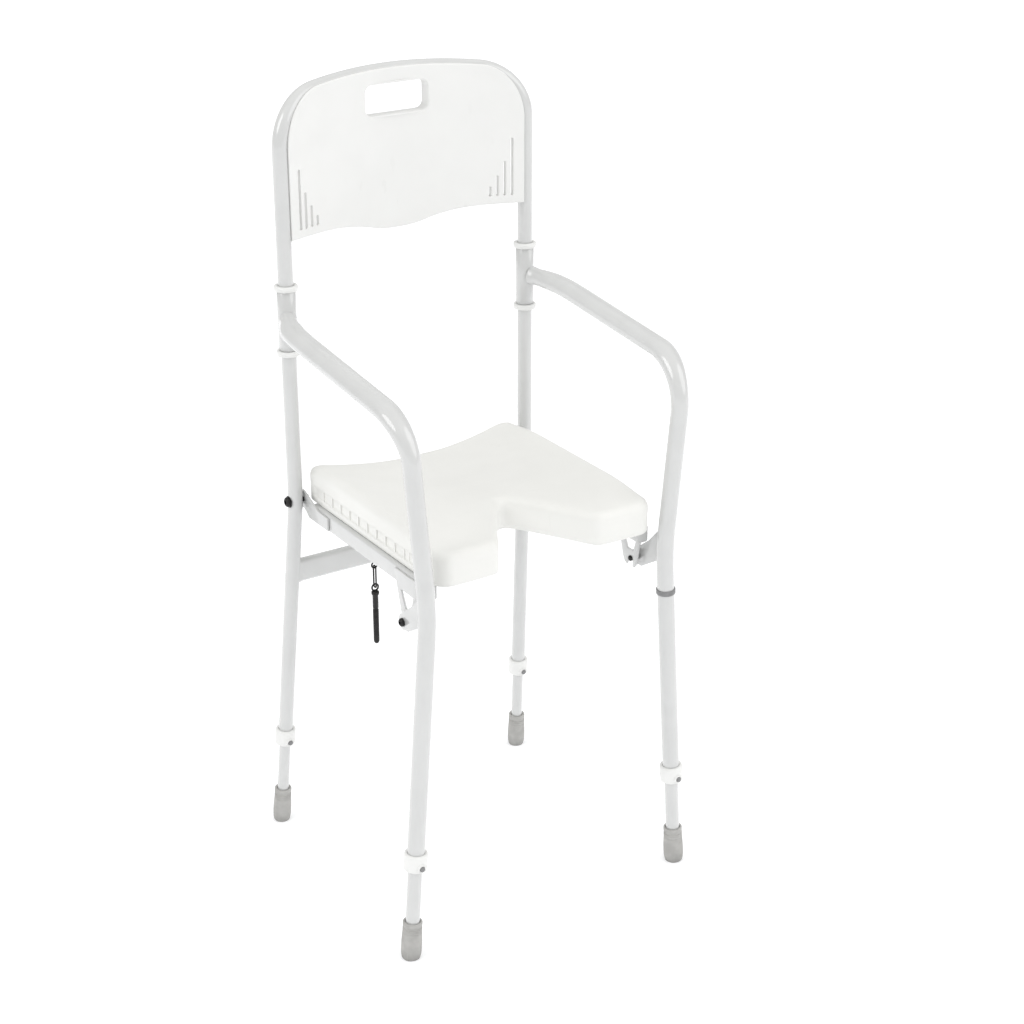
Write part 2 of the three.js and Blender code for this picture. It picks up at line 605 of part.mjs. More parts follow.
function innerLeg(radius) {
  const tube = ring(radius - INNER_LEG.wall, radius, INNER_LEG.bottom, INNER_LEG.top);
  const holes = Array.from({ length: INNER_LEG.holeCount }, (_, i) =>
    new THREE.CylinderGeometry(INNER_LEG.holeRadius, INNER_LEG.holeRadius, 12, 8)
      .translate(0, -radius, BUTTON.height + INNER_LEG.holePitch * i));
  return cut(tube, ...holes);
}

function legCollar(tube, innerRadius, outside) {
  const lower = (innerRadius + 0.35) / Math.cos(Math.PI / TUBE_SIDES);
  const upper = (tube.radius + 0.3) / Math.cos(Math.PI / TUBE_SIDES);
  const shelf = COLLAR.tubeEnd - GAP;
  const body = lathe([[lower, COLLAR.bottom], [outside - 1, COLLAR.bottom], [outside, COLLAR.bottom + 1.5],
    [outside, COLLAR.top - 2], [outside - 1.5, COLLAR.top], [upper, COLLAR.top], [upper, shelf],
    [lower, shelf], [lower, COLLAR.bottom]]);
  const boss = new THREE.CylinderGeometry(6.4, 6.8, 5, 12).translate(0, -(outside - 0.5), BUTTON.height);
  const bore = new THREE.CylinderGeometry(innerRadius + 3, innerRadius + 3, 60, 12).rotateX(Math.PI / 2);
  const outer = join(body, cut(boss, bore.translate(0, 0, BUTTON.height)));
  const hole = new THREE.CylinderGeometry(BUTTON.radius + 0.5, BUTTON.radius + 0.5, 24, 12);
  return cut(outer, hole.translate(0, -(lower + 8), BUTTON.height));
}

function legButton(outside) {
  const tip = outside - BUTTON.inside;
  const face = outside + BUTTON.proud;
  const length = face - tip;
  const profile = [[0, 0], [BUTTON.radius, 0], [BUTTON.radius, length - 1.2], [BUTTON.radius - 1.2, length],
    [0, length]];
  return lathe(profile, 12).rotateX(Math.PI / 2).translate(0, -tip, BUTTON.height);
}

// ---------- locking pin on its link ----------
const PIN = {
  x: -176, y: -34, eyeZ: 532, eyeRadius: 4.4, linkRadius: 3.4, linkLength: 27, wire: 1.2,
  radius: 4.2, length: 84,
};

function wireRing(radius, wire) {
  return new THREE.TorusGeometry(radius, wire, 6, 12);
}

// Eye screwed under the rail. Its ring stands in the X-Z plane.
function pinEye() {
  const loop = wireRing(PIN.eyeRadius, PIN.wire).rotateX(Math.PI / 2).translate(PIN.x, PIN.y, PIN.eyeZ);
  const foot = lathe([[0, PIN.eyeZ + 3.9], [2.6, PIN.eyeZ + 3.9], [3.4, 539.7], [0, 539.7]], 8);
  return join(loop, foot.translate(PIN.x, PIN.y, 0));
}

// Long link in the Y-Z plane. Its upper bend goes round the lowest point of the eye.
function pinLink() {
  const upper = PIN.eyeZ - PIN.eyeRadius;
  const points = [];
  for (let i = 0; i < 14; i++) {
    const angle = (2 * Math.PI * (i + 0.5)) / 14;
    const lift = Math.sin(angle) > 0 ? 0 : -PIN.linkLength;
    const rise = lift + PIN.linkRadius * Math.sin(angle);
    points.push(vector(PIN.x, PIN.y + PIN.linkRadius * Math.cos(angle), upper + rise));
  }
  const loop = new THREE.CatmullRomCurve3(points, true, 'catmullrom', 0.2);
  const section = new THREE.Shape();
  section.absarc(0, 0, PIN.wire, 0, 2 * Math.PI, false);
  return new THREE.ExtrudeGeometry(section, { steps: 24, extrudePath: loop, curveSegments: 3 });
}

// Pin with a ring head. The ring stands in the X-Z plane round the lower bend of the link.
function lockingPin() {
  const z = PIN.eyeZ - PIN.eyeRadius - PIN.linkLength - PIN.linkRadius;
  const head = wireRing(5, 1.3).rotateX(Math.PI / 2).translate(PIN.x, PIN.y, z);
  const top = z - 4.6;
  const end = top - PIN.length;
  const body = lathe([[0, end], [2.4, end + 0.6], [PIN.radius, end + 4], [PIN.radius, top - 7],
    [5.6, top - 6], [5.6, top - 2], [3, top], [0, top]], 12).translate(PIN.x, PIN.y, 0);
  return join(head, body);
}

// ---------- assembly ----------
const chair = new THREE.Group();

function addPart(name, geometry, material, parent = chair) {
  const mesh = new THREE.Mesh(geometry, material);
  mesh.name = name;
  parent.add(mesh);
}

function addLowerLeg(place, side, foot, kink, tube, sizes) {
  const leg = new THREE.Group();
  leg.position.copy(foot);
  leg.quaternion.setFromUnitVectors(vector(0, 0, 1), kink.clone().sub(foot).normalize());
  leg.updateMatrixWorld(true);
  addPart(`${place}_ferrule_${side}`, ferrule(sizes.bore, sizes.ferrule, leg.matrixWorld), GREY_RUBBER, leg);
  addPart(`${place}_inner_leg_${side}`, innerLeg(sizes.inner), WHITE_COAT, leg);
  addPart(`${place}_leg_collar_${side}`, legCollar(tube, sizes.inner, sizes.collar), WHITE_PLASTIC, leg);
  addPart(`${place}_leg_button_${side}`, legButton(sizes.collar), DARK_PLASTIC, leg);
  chair.add(leg);
}

function addFrame() {
  addPart('back_hoop_tube', backHoopTube(), WHITE_COAT);
  addPart('rear_crossbar', rearCrossbar(), WHITE_COAT);
  addPart('leg_stop_ring_left', stopRing(), DARK_PLASTIC);
  for (const [name, side] of SIDES) {
    addPart(`rear_leg_tube_${name}`, rearLegTube(side), WHITE_COAT);
    addPart(`arm_leg_tube_${name}`, armLegTube(side), WHITE_COAT);
    const sleeve = ring(SLEEVE.bore, SLEEVE.radius, SLEEVE.bottom, SLEEVE.top);
    addPart(`arm_sleeve_${name}`, sleeve.translate(side * POST.x, POST.y, 0), WHITE_COAT);
    const under = SLEEVE.bottom - GAP - SLEEVE.collarHeight;
    for (const [level, bottom] of [['upper', SLEEVE.top + GAP], ['lower', under]]) {
      const collar = sleeveCollar(bottom).translate(side * POST.x, POST.y, 0);
      addPart(`sleeve_collar_${level}_${name}`, collar, WHITE_PLASTIC);
    }
    addPart(`front_bracket_${name}`, frontBracket(side), WHITE_COAT);
    addPart(`front_bolt_${name}`, pegBolt(side), BLACK_STEEL);
    addPart(`hinge_bolt_${name}`, hingeBolt(side), BLACK_STEEL);
    addPart(`hinge_nut_${name}`, hingeNut(side), ZINC);
  }
}

// Ring clamped round the left front leg below the seat.
function stopRing() {
  const foot = frontFoot(1);
  const bore = (FRONT_TUBE.radius + GAP) / Math.cos(Math.PI / TUBE_SIDES);
  const body = ring(bore, STOP_RING.radius, STOP_RING.bottom, STOP_RING.top);
  const turn = new THREE.Quaternion().setFromUnitVectors(vector(0, 0, 1), frontKink(1).sub(foot).normalize());
  return body.applyQuaternion(turn).translate(...foot.toArray());
}

function addBack() {
  addPart('back_panel', backPanel(), WHITE_PLASTIC);
  for (const [name, side] of SIDES) {
    PANEL_SCREWS.forEach((z, i) => addPart(`panel_screw_${name}_${i + 1}`, panelScrew(side, z), ZINC));
  }
}

function addSeat() {
  addPart('seat_shell', seatShell(), SEAT_PLASTIC);
  for (const [name, side] of SIDES) {
    addPart(`seat_rail_${name}`, seatRail(side), WHITE_COAT);
    addPart(`hinge_plate_${name}`, hingePlate(side), WHITE_COAT);
    addPart(`seat_hanger_${name}`, seatHanger(side), WHITE_COAT);
    SEAT_SCREWS.y.forEach((y, i) => addPart(`seat_screw_${name}_${i + 1}`, seatScrew(side, y), ZINC));
  }
}

function addLockingPin() {
  addPart('pin_eye', pinEye(), BLACK_STEEL);
  addPart('pin_link', pinLink(), BLACK_STEEL);
  addPart('locking_pin', lockingPin(), BLACK_STEEL);
}

function addLowerLegs() {
  const front = { inner: 10.3, bore: 11, ferrule: 15, collar: 17 };
  const rear = { inner: 8.85, bore: 9.5, ferrule: 14, collar: 15.5 };
  for (const [name, side] of SIDES) {
    addLowerLeg('front', name, frontFoot(side), frontKink(side), FRONT_TUBE, front);
    addLowerLeg('rear', name, rearFoot(side), rearKink(side), REAR_TUBE, rear);
  }
}

addFrame();
addBack();
addSeat();
addLockingPin();
addLowerLegs();

export default chair;
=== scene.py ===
"""Looks of a tall shower chair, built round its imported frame.

Sizes and points are in millimetres and go into metres when a mesh is made. +Z is up and the
sitter faces -Y, so the sitter's right is -X. Each piece is a surface worked out as whole arrays.
"""

import logging
import math
from dataclasses import dataclass
from enum import Enum
from typing import Sequence

import bmesh
import bpy
import numpy as np
from mathutils import Matrix, Vector


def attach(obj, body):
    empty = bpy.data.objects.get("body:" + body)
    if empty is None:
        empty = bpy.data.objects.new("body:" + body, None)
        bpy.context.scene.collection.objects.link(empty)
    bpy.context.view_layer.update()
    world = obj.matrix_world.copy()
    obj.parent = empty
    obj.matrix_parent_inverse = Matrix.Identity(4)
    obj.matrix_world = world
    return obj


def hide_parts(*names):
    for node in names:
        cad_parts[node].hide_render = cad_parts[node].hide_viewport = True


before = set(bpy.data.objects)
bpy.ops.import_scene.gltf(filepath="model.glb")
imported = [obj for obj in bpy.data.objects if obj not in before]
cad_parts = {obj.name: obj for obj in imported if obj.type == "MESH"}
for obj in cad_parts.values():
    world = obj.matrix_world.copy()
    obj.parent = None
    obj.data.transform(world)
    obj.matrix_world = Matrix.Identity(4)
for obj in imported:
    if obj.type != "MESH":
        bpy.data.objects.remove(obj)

Array = np.ndarray
Profile = Sequence[tuple[float, float]]

LOG = logging.getLogger("shower_chair")
MM = 0.001
ROUND = 40
GAP = 0.3
SIDES = {"right": -1.0, "left": 1.0}


class Body(Enum):
    """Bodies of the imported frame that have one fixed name."""

    FRAME = "frame"
    SEAT = "seat"
    LINK = "pin_link"
    PIN = "locking_pin"


# ---------------------------------------------------------------- curves and surfaces
def smooth_step(value: Array, low: float, high: float) -> Array:
    """Rise from 0 at low to 1 at high, as 3t^2 - 2t^3 of the share t between them."""
    t = np.clip((value - low) / (high - low), 0.0, 1.0)
    return t * t * (3.0 - 2.0 * t)


def unit(vectors: Array) -> Array:
    """The vectors divided by their lengths."""
    return vectors / np.linalg.norm(vectors, axis=-1, keepdims=True)


def toward(start: Array, end: Array, distance: float) -> Array:
    """The point at a distance from start on the line to end."""
    return start + unit(end - start) * distance


def bend(before: Array, kink: Array, after: Array, reach: float, count: int) -> Array:
    """Rounds a kink with a quadratic Bezier curve that starts and ends at reach from it.

    Args:
        before: A point on the line that comes to the kink.
        kink: The corner itself, which is the curve's middle control point.
        after: A point on the line that leaves the kink.
        reach: Distance from the kink at which the curve starts and ends.
        count: Number of points.

    Returns:
        Points of (1-t)^2 a + 2t(1-t) k + t^2 b, as a count by 3 array.
    """
    t = np.linspace(0.0, 1.0, count)[:, None]
    a, b = toward(kink, before, reach), toward(kink, after, reach)
    return (1 - t) ** 2 * a + 2 * t * (1 - t) * kink + t**2 * b


def catmull(points: Array, per_span: int) -> Array:
    """A Catmull-Rom curve through the points.

    Args:
        points: The points it passes through, in order, as an n by d array.
        per_span: Number of samples in each span between two points.

    Returns:
        Samples of the cubic whose slope at a point is half the chord of its two neighbours.
    """
    ends = np.vstack([2 * points[0] - points[1], points, 2 * points[-1] - points[-2]])
    t = (np.arange(per_span) / per_span)[None, :, None]
    a, b, c, d = (ends[k : len(points) - 1 + k, None] for k in range(4))
    spans = b + 0.5 * t * (c - a + t * (2 * a - 5 * b + 4 * c - d + t * (3 * (b - c) + d - a)))
    return np.vstack([spans.reshape(-1, points.shape[1]), points[-1:]])


def upright_turn(axis: Array) -> Array:
    """The shortest rotation that takes +Z to the axis, as a 3 by 3 matrix: I + K + K^2/(1+c)."""
    x, y, z = unit(np.asarray(axis, float))
    skew = np.array([[0, 0, x], [0, 0, y], [-x, -y, 0]])
    return np.eye(3) + skew + skew @ skew / (1.0 + z) if z > -0.999 else np.diag([1.0, -1.0, -1.0])


def placed(points: Array, origin: Sequence[float], axis: Sequence[float]) -> Array:
    """Points built round +Z, turned to stand on an axis at an origin."""
    return points @ upright_turn(np.asarray(axis, float)).T + np.asarray(origin, float)


def hexed(angle: Array) -> Array:
    """Radius of a hexagon, for a distance of 1 across its half flats, at each angle."""
    return 1.0 / np.cos((angle + math.pi / 6) % (math.pi / 3) - math.pi / 6)


def turned(profile: Profile, count: int = ROUND, flats: Sequence[int] = ()) -> Array:
    """A profile carried round Z.

    Args:
        profile: Pairs of radius and height.
        count: Number of points round.
        flats: Rows of the profile that follow a hexagon, whose radius is half across its flats.

    Returns:
        Points (r cos a, r sin a, z) as a rows by count by 3 array.
    """
    radius, height = np.array(profile, float).T
    angle = np.linspace(0.0, 2 * math.pi, count, endpoint=False)
    reach = np.repeat(radius[:, None], count, 1)
    rows = list(flats)
    reach[rows] *= hexed(angle)
    heights = np.repeat(height[:, None], count, 1)
    return np.stack([reach * np.cos(angle), reach * np.sin(angle), heights], -1)


def swept(line: Array, side: Array, half_a: Array, half_b: Array, count: int = ROUND) -> Array:
    """Ellipses carried along a line without twist.

    Args:
        line: Centre line as an n by 3 array.
        side: Direction that the first half axis follows.
        half_a: Half axis along side, one value for each point of the line.
        half_b: Half axis across it.
        count: Number of points round.

    Returns:
        centre + a A cos(t) + b B sin(t), where A is side made square to the line's direction
        and B is square to both, as an n by count by 3 array.
    """
    steps = unit(np.diff(line, axis=0))
    ahead = unit(np.vstack([steps[:1], steps[:-1] + steps[1:], steps[-1:]]))
    first = unit(side - (ahead @ side)[:, None] * ahead)
    second = np.cross(ahead, first)
    angle = np.linspace(0.0, 2 * math.pi, count, endpoint=False)[None, :, None]
    half_a, half_b = (np.broadcast_to(h, len(line))[:, None, None] for h in (half_a, half_b))
    return line[:, None] + first[:, None] * half_a * np.cos(angle) + second[:, None] * half_b * np.sin(angle)


def rounded_box(x0: float, x1: float, z0: float, z1: float, radius: float, count: int = 6) -> Array:
    """A rectangle with quarter-circle corners, counter-clockwise from the corner at x1, z1."""
    quarter = np.linspace(0.0, math.pi / 2, count)
    centres = [(x1 - radius, z1 - radius), (x0 + radius, z1 - radius), (x0 + radius, z0 + radius),
               (x1 - radius, z0 + radius)]
    parts = [
        np.stack([cx + radius * np.cos(quarter + k * math.pi / 2),
                  cz + radius * np.sin(quarter + k * math.pi / 2)], -1)
        for k, (cx, cz) in enumerate(centres)
    ]
    return np.vstack(parts)


class Shell:
    """Closed surfaces in millimetres that become one mesh."""

    def __init__(self) -> None:
        """Starts with no points."""
        self.points: list[Array] = []
        self.faces: list[Array] = []
        self.count = 0

    def add(self, grid: Array, around: bool = True, along: bool = False) -> "Shell":
        """Adds the quads of a grid of points.

        Args:
            grid: Points as a rows by columns by 3 array.
            around: Whether the last column joins the first.
            along: Whether the last row joins the first.

        Returns:
            This shell, so that calls can follow each other.
        """
        rows, columns = grid.shape[:2]
        i, j = np.meshgrid(np.arange(rows - (not along)), np.arange(columns - (not around)), indexing="ij")
        i2, j2 = (i + 1) % rows, (j + 1) % columns
        quads = np.stack([i * columns + j, i * columns + j2, i2 * columns + j2, i2 * columns + j], -1)
        return self.join(grid.reshape(-1, 3), quads.reshape(-1, 4))

    def join(self, points: Array, faces: Array) -> "Shell":
        """Adds points with faces that number them from 0."""
        self.points.append(points)
        self.faces.append(faces + self.count)
        self.count += len(points)
        return self

    def capped(self, rings: Array) -> "Shell":
        """Adds rings whose two ends close on their middle points."""
        ends = rings[[0, -1]].mean(1, keepdims=True).repeat(rings.shape[1], 1)
        return self.add(np.concatenate([ends[:1], rings, ends[1:]]))

    def pipe(self, outer: Array, inner: Array) -> "Shell":
        """Adds a hollow piece: outer rings one way and inner rings back, closed at both ends."""
        return self.add(np.concatenate([outer, inner[::-1]]), along=True)

    def lathe(self, profile: Profile, origin: Sequence[float], axis: Sequence[float], loop: bool = False,
              count: int = ROUND, flats: Sequence[int] = ()) -> "Shell":
        """Adds a turned body that stands at an origin along an axis; loop closes its profile."""
        rings = placed(turned(profile, count, flats), origin, axis)
        return self.add(rings, along=loop) if loop else self.capped(rings)

    def block(self, low: Sequence[float], high: Sequence[float]) -> "Shell":
        """Adds a box between two corners, for a rib or a boss inside a moulding."""
        (x0, y0, z0), (x1, y1, z1) = low, high
        ring = np.array([[x0, y0], [x1, y0], [x1, y1], [x0, y1]], float)
        rows = np.array([[[x, y, z] for x, y in ring] for z in (z0, z1)])
        return self.capped(rows)

    def object(self, name: str, sharp: float = 40.0) -> bpy.types.Object:
        """Makes the mesh object.

        Args:
            name: Name of the object and of its mesh.
            sharp: Angle in degrees past which an edge is shaded sharp.

        Returns:
            The object, at the origin with its place in its mesh and its faces outwards.
        """
        mesh = bpy.data.meshes.new(name)
        mesh.from_pydata(np.vstack(self.points) * MM, [], np.vstack(self.faces))
        tidy_mesh(mesh, sharp)
        made = bpy.data.objects.new(name, mesh)
        bpy.context.scene.collection.objects.link(made)
        return made


def tidy_mesh(mesh: bpy.types.Mesh, sharp: float) -> None:
    """Merges doubles, points the faces outwards and sets smooth shading up to an angle."""
    work = bmesh.new()
    work.from_mesh(mesh)
    bmesh.ops.remove_doubles(work, verts=work.verts, dist=2e-6)
    bmesh.ops.recalc_face_normals(work, faces=work.faces)
    work.to_mesh(mesh)
    work.free()
    mesh.shade_smooth()
    mesh.set_sharp_from_angle(angle=math.radians(sharp))


def applied(piece: bpy.types.Object, sharp: float = 40.0) -> bpy.types.Object:
    """Puts the result of a piece's modifiers into its mesh."""
    graph = bpy.context.evaluated_depsgraph_get()
    mesh = bpy.data.meshes.new_from_object(piece.evaluated_get(graph))
    piece.modifiers.clear()
    piece.data = mesh
    tidy_mesh(mesh, sharp)
    return piece


def shaped(piece: bpy.types.Object, tool: Shell, operation: str = "DIFFERENCE") -> bpy.types.Object:
    """Cuts a tool out of a piece, or joins it on with operation UNION."""
    knife = tool.object("tool")
    step = piece.modifiers.new("shape", "BOOLEAN")
    step.operation, step.solver, step.object = operation, "EXACT", knife
    applied(piece)
    bpy.data.objects.remove(knife)
    return piece


def plate(name: str, outlines: Sequence[Array], side: float, inner: float, outer: float) -> bpy.types.Object:
    """A sheet-metal plate with rounded edges in the Y-Z plane.

    Args:
        name: Name of the piece.
        outlines: Outer edge and windows, each an n by 2 array of y and z.
        side: -1 for the sitter's right and 1 for the left.
        inner: Distance of the inner face from the middle of the chair.
        outer: Distance of the outer face.

    Returns:
        The plate: the outlines filled, given the thickness and a small round along each edge.
    """
    edge = 0.4 * MM
    curve = bpy.data.curves.new(name, "CURVE")
    curve.dimensions, curve.fill_mode = "2D", "BOTH"
    curve.extrude, curve.bevel_depth = (outer - inner) / 2 * MM - edge, edge
    curve.bevel_resolution, curve.offset = 1, -edge
    for outline in outlines:
        spline = curve.splines.new("POLY")
        spline.points.add(len(outline) - 1)
        flat = np.column_stack([outline * MM, np.zeros(len(outline)), np.ones(len(outline))])
        spline.points.foreach_set("co", flat.ravel())
        spline.use_cyclic_u = True
    drawn = bpy.data.objects.new(name, curve)
    mesh = bpy.data.meshes.new_from_object(drawn)
    bpy.data.objects.remove(drawn)
    middle = side * (inner + outer) / 2 * MM
    mesh.transform(Matrix(((0, 0, 1, middle), (1, 0, 0, 0), (0, 1, 0, 0), (0, 0, 0, 1))))
    tidy_mesh(mesh, 35.0)
    made = bpy.data.objects.new(name, mesh)
    bpy.context.scene.collection.objects.link(made)
    return made


def arc(cy: float, cz: float, radius: float, start: float, end: float, count: int = 24) -> Array:
    """Points of a circle in the Y-Z plane from a start to an end angle."""
    angle = np.linspace(start, end, count)
    return np.stack([cy + radius * np.cos(angle), cz + radius * np.sin(angle)], -1)


# ---------------------------------------------------------------- finishes
def node_group(name: str, inputs: dict[str, float], outputs: dict[str, str]) -> bpy.types.NodeTree:
    """An empty shader node group with its sockets.

    Args:
        name: Name of the group.
        inputs: Default of each number that goes in.
        outputs: Socket type of each output, such as NodeSocketFloat.

    Returns:
        The group, with its input and output nodes in place.
    """
    tree = bpy.data.node_groups.new(name, "ShaderNodeTree")
    for key, value in inputs.items():
        tree.interface.new_socket(key, in_out="INPUT", socket_type="NodeSocketFloat").default_value = value
    for key, kind in outputs.items():
        tree.interface.new_socket(key, in_out="OUTPUT", socket_type=kind)
    tree.nodes.new("NodeGroupInput")
    tree.nodes.new("NodeGroupOutput")
    return tree


def noise(tree: bpy.types.NodeTree, detail: float, stretch: Sequence[float] = (1, 1, 1)) -> bpy.types.Node:
    """A noise texture on Object coordinates, stretched along the axes by a Mapping node."""
    place = tree.nodes.new("ShaderNodeTexCoord")
    mapping = tree.nodes.new("ShaderNodeMapping")
    mapping.inputs["Scale"].default_value = tuple(stretch)
    texture = tree.nodes.new("ShaderNodeTexNoise")
    texture.inputs["Detail"].default_value = detail
    tree.links.new(place.outputs["Object"], mapping.inputs["Vector"])
    tree.links.new(mapping.outputs["Vector"], texture.inputs["Vector"])
    return texture


def ranged(tree: bpy.types.NodeTree, value: bpy.types.NodeSocket, low: float, high: float) -> bpy.types.Node:
    """A Map Range node that takes value from low..high to 0..1, smoothly."""
    step = tree.nodes.new("ShaderNodeMapRange")
    step.interpolation_type = "SMOOTHSTEP"
    step.inputs["From Min"].default_value = low
    step.inputs["From Max"].default_value = high
    tree.links.new(value, step.inputs["Value"])
    return step


def ends_of(tree: bpy.types.NodeTree) -> tuple[bpy.types.Node, bpy.types.Node]:
    """The input and the output node of a group."""
    return tree.nodes["Group Input"], tree.nodes["Group Output"]


def grain_group() -> bpy.types.NodeTree:
    """Height of a fine pebble grain over a slower ripple, both from noise of a given scale."""
    tree = node_group("surface_grain", {"Scale": 900.0, "Ripple Scale": 90.0, "Ripple": 0.5},
                      {"Height": "NodeSocketFloat"})
    start, end = ends_of(tree)
    fine, slow = noise(tree, 2.0), noise(tree, 1.0)
    tree.links.new(start.outputs["Scale"], fine.inputs["Scale"])
    tree.links.new(start.outputs["Ripple Scale"], slow.inputs["Scale"])
    both = tree.nodes.new("ShaderNodeMix")
    tree.links.new(start.outputs["Ripple"], both.inputs["Factor"])
    tree.links.new(fine.outputs["Fac"], both.inputs["A"])
    tree.links.new(slow.outputs["Fac"], both.inputs["B"])
    tree.links.new(both.outputs["Result"], end.inputs["Height"])
    return tree


def mottle_group() -> bpy.types.NodeTree:
    """Mask of soft cloudy patches, for colour and gloss that vary over a surface."""
    tree = node_group("soft_mottle", {"Scale": 14.0}, {"Mask": "NodeSocketFloat"})
    start, end = ends_of(tree)
    cloud = noise(tree, 4.0)
    tree.links.new(start.outputs["Scale"], cloud.inputs["Scale"])
    tree.links.new(ranged(tree, cloud.outputs["Fac"], 0.3, 0.7).outputs["Result"], end.inputs["Mask"])
    return tree


def scuff_group() -> bpy.types.NodeTree:
    """Mask of sparse fine marks: thin bands of a stretched noise, kept where a slow noise is high."""
    tree = node_group("fine_scuffs", {"Scale": 60.0}, {"Mask": "NodeSocketFloat"})
    start, end = ends_of(tree)
    marks, patches = noise(tree, 6.0, (1.0, 3.0, 0.4)), noise(tree, 1.0, (0.2, 0.2, 0.2))
    for texture in (marks, patches):
        tree.links.new(start.outputs["Scale"], texture.inputs["Scale"])
    lines = ranged(tree, marks.outputs["Fac"], 0.62, 0.68)
    where = ranged(tree, patches.outputs["Fac"], 0.5, 0.7)
    both = tree.nodes.new("ShaderNodeMath")
    both.operation = "MULTIPLY"
    tree.links.new(lines.outputs["Result"], both.inputs[0])
    tree.links.new(where.outputs["Result"], both.inputs[1])
    tree.links.new(both.outputs["Value"], end.inputs["Mask"])
    return tree


def low_darkening_group() -> bpy.types.NodeTree:
    """Mask that is 1 at the floor and fades to 0 at a height, broken up by noise; it darkens the colour near
    the floor.
    """
    tree = node_group("darker_near_floor", {"Height": 0.05}, {"Mask": "NodeSocketFloat"})
    start, end = ends_of(tree)
    place = tree.nodes.new("ShaderNodeTexCoord")
    split = tree.nodes.new("ShaderNodeSeparateXYZ")
    share = tree.nodes.new("ShaderNodeMath")
    share.operation = "DIVIDE"
    fade = tree.nodes.new("ShaderNodeMath")
    fade.operation, fade.use_clamp = "SUBTRACT", True
    cloud = noise(tree, 5.0)
    cloud.inputs["Scale"].default_value = 180.0
    broken = tree.nodes.new("ShaderNodeMath")
    broken.operation = "MULTIPLY"
    tree.links.new(place.outputs["Object"], split.inputs["Vector"])
    tree.links.new(split.outputs["Z"], share.inputs[0])
    tree.links.new(start.outputs["Height"], share.inputs[1])
    fade.inputs[0].default_value = 1.0
    tree.links.new(share.outputs["Value"], fade.inputs[1])
    tree.links.new(fade.outputs["Value"], broken.inputs[0])
    tree.links.new(cloud.outputs["Fac"], broken.inputs[1])
    tree.links.new(broken.outputs["Value"], end.inputs["Mask"])
    return tree


@dataclass(frozen=True)
class Finish:
    """A finish of the chair, named for its slot in the record.

    The base colour goes between two near shades by a mottle mask, scuffs lighten or darken it, a mask
    darkens it towards the floor, roughness follows the same masks, and a grain gives the bump.
    """

    slot: str
    colour: tuple[float, float, float]
    shade: tuple[float, float, float]
    roughness: tuple[float, float]
    metallic: float = 0.0
    coat: float = 0.0
    coat_ior: float = 1.75
    grain_scale: float = 900.0
    ripple: float = 0.5
    bump: float = 0.1
    depth: float = 0.05
    scuff: tuple[float, float, float] = (0.75, 0.75, 0.74)
    scuff_amount: float = 0.25
    # height over which the colour is made darker towards the floor; 0 leaves it even
    darkening_height: float = 0.0
    mottle_scale: float = 14.0

    def material(self, groups: dict[str, bpy.types.NodeTree]) -> bpy.types.Material:
        """Builds the material from the shared node groups.

        Args:
            groups: The shared groups by name.

        Returns:
            The material, whose constant values stand on the shader's own sockets.
        """
        made = bpy.data.materials.new(self.slot)
        made.use_nodes = True
        tree = made.node_tree
        shader = tree.nodes["Principled BSDF"]
        shader.inputs["Metallic"].default_value = self.metallic
        shader.inputs["Coat Weight"].default_value = self.coat
        shader.inputs["Coat Roughness"].default_value = 0.08
        shader.inputs["Coat IOR"].default_value = self.coat_ior
        mask = self.placed_group(tree, groups["mottle"], {"Scale": self.mottle_scale}).outputs["Mask"]
        colour = self.mixed(tree, mask, self.colour, self.shade)
        scuffs = self.placed_group(tree, groups["scuff"], {}).outputs["Mask"]
        share = tree.nodes.new("ShaderNodeMath")
        share.operation = "MULTIPLY"
        share.inputs[1].default_value = self.scuff_amount
        tree.links.new(scuffs, share.inputs[0])
        colour = self.mixed(tree, share.outputs["Value"], colour, self.scuff)
        # darker towards the floor: the colour is mixed towards a dark grey by a noisy mask that fades with
        # height
        if self.darkening_height:
            low_darkening = self.placed_group(tree, groups["low_darkening"], {"Height": self.darkening_height}).outputs["Mask"]
            colour = self.mixed(tree, low_darkening, colour, (0.2, 0.2, 0.19))
        tree.links.new(colour, shader.inputs["Base Color"])
        gloss = ranged(tree, mask, 0.0, 1.0)
        gloss.inputs["To Min"].default_value, gloss.inputs["To Max"].default_value = self.roughness
        rougher = tree.nodes.new("ShaderNodeMath")
        rougher.operation, rougher.use_clamp = "ADD", True
        tree.links.new(gloss.outputs["Result"], rougher.inputs[0])
        tree.links.new(share.outputs["Value"], rougher.inputs[1])
        tree.links.new(rougher.outputs["Value"], shader.inputs["Roughness"])
        grain = self.placed_group(tree, groups["grain"], {"Scale": self.grain_scale, "Ripple": self.ripple})
        bump = tree.nodes.new("ShaderNodeBump")
        bump.inputs["Strength"].default_value = self.bump
        bump.inputs["Distance"].default_value = self.depth * MM
        tree.links.new(grain.outputs["Height"], bump.inputs["Height"])
        tree.links.new(bump.outputs["Normal"], shader.inputs["Normal"])
        return made

    @staticmethod
    def placed_group(tree: bpy.types.NodeTree, group: bpy.types.NodeTree,
                     values: dict[str, float]) -> bpy.types.Node:
        """Places a shared group in a material with its own values."""
        node = tree.nodes.new("ShaderNodeGroup")
        node.node_tree = group
        for key, value in values.items():
            node.inputs[key].default_value = value
        return node

    @staticmethod
    def mixed(tree: bpy.types.NodeTree, factor: bpy.types.NodeSocket, first: object,
              second: tuple[float, float, float]) -> bpy.types.NodeSocket:
        """Mixes a colour or a colour socket with a second colour by a mask."""
        mix = tree.nodes.new("ShaderNodeMix")
        mix.data_type = "RGBA"
        tree.links.new(factor, mix.inputs["Factor"])
        if isinstance(first, tuple):
            mix.inputs[6].default_value = (*first, 1.0)
        else:
            tree.links.new(first, mix.inputs[6])
        mix.inputs[7].default_value = (*second, 1.0)
        return mix.outputs[2]


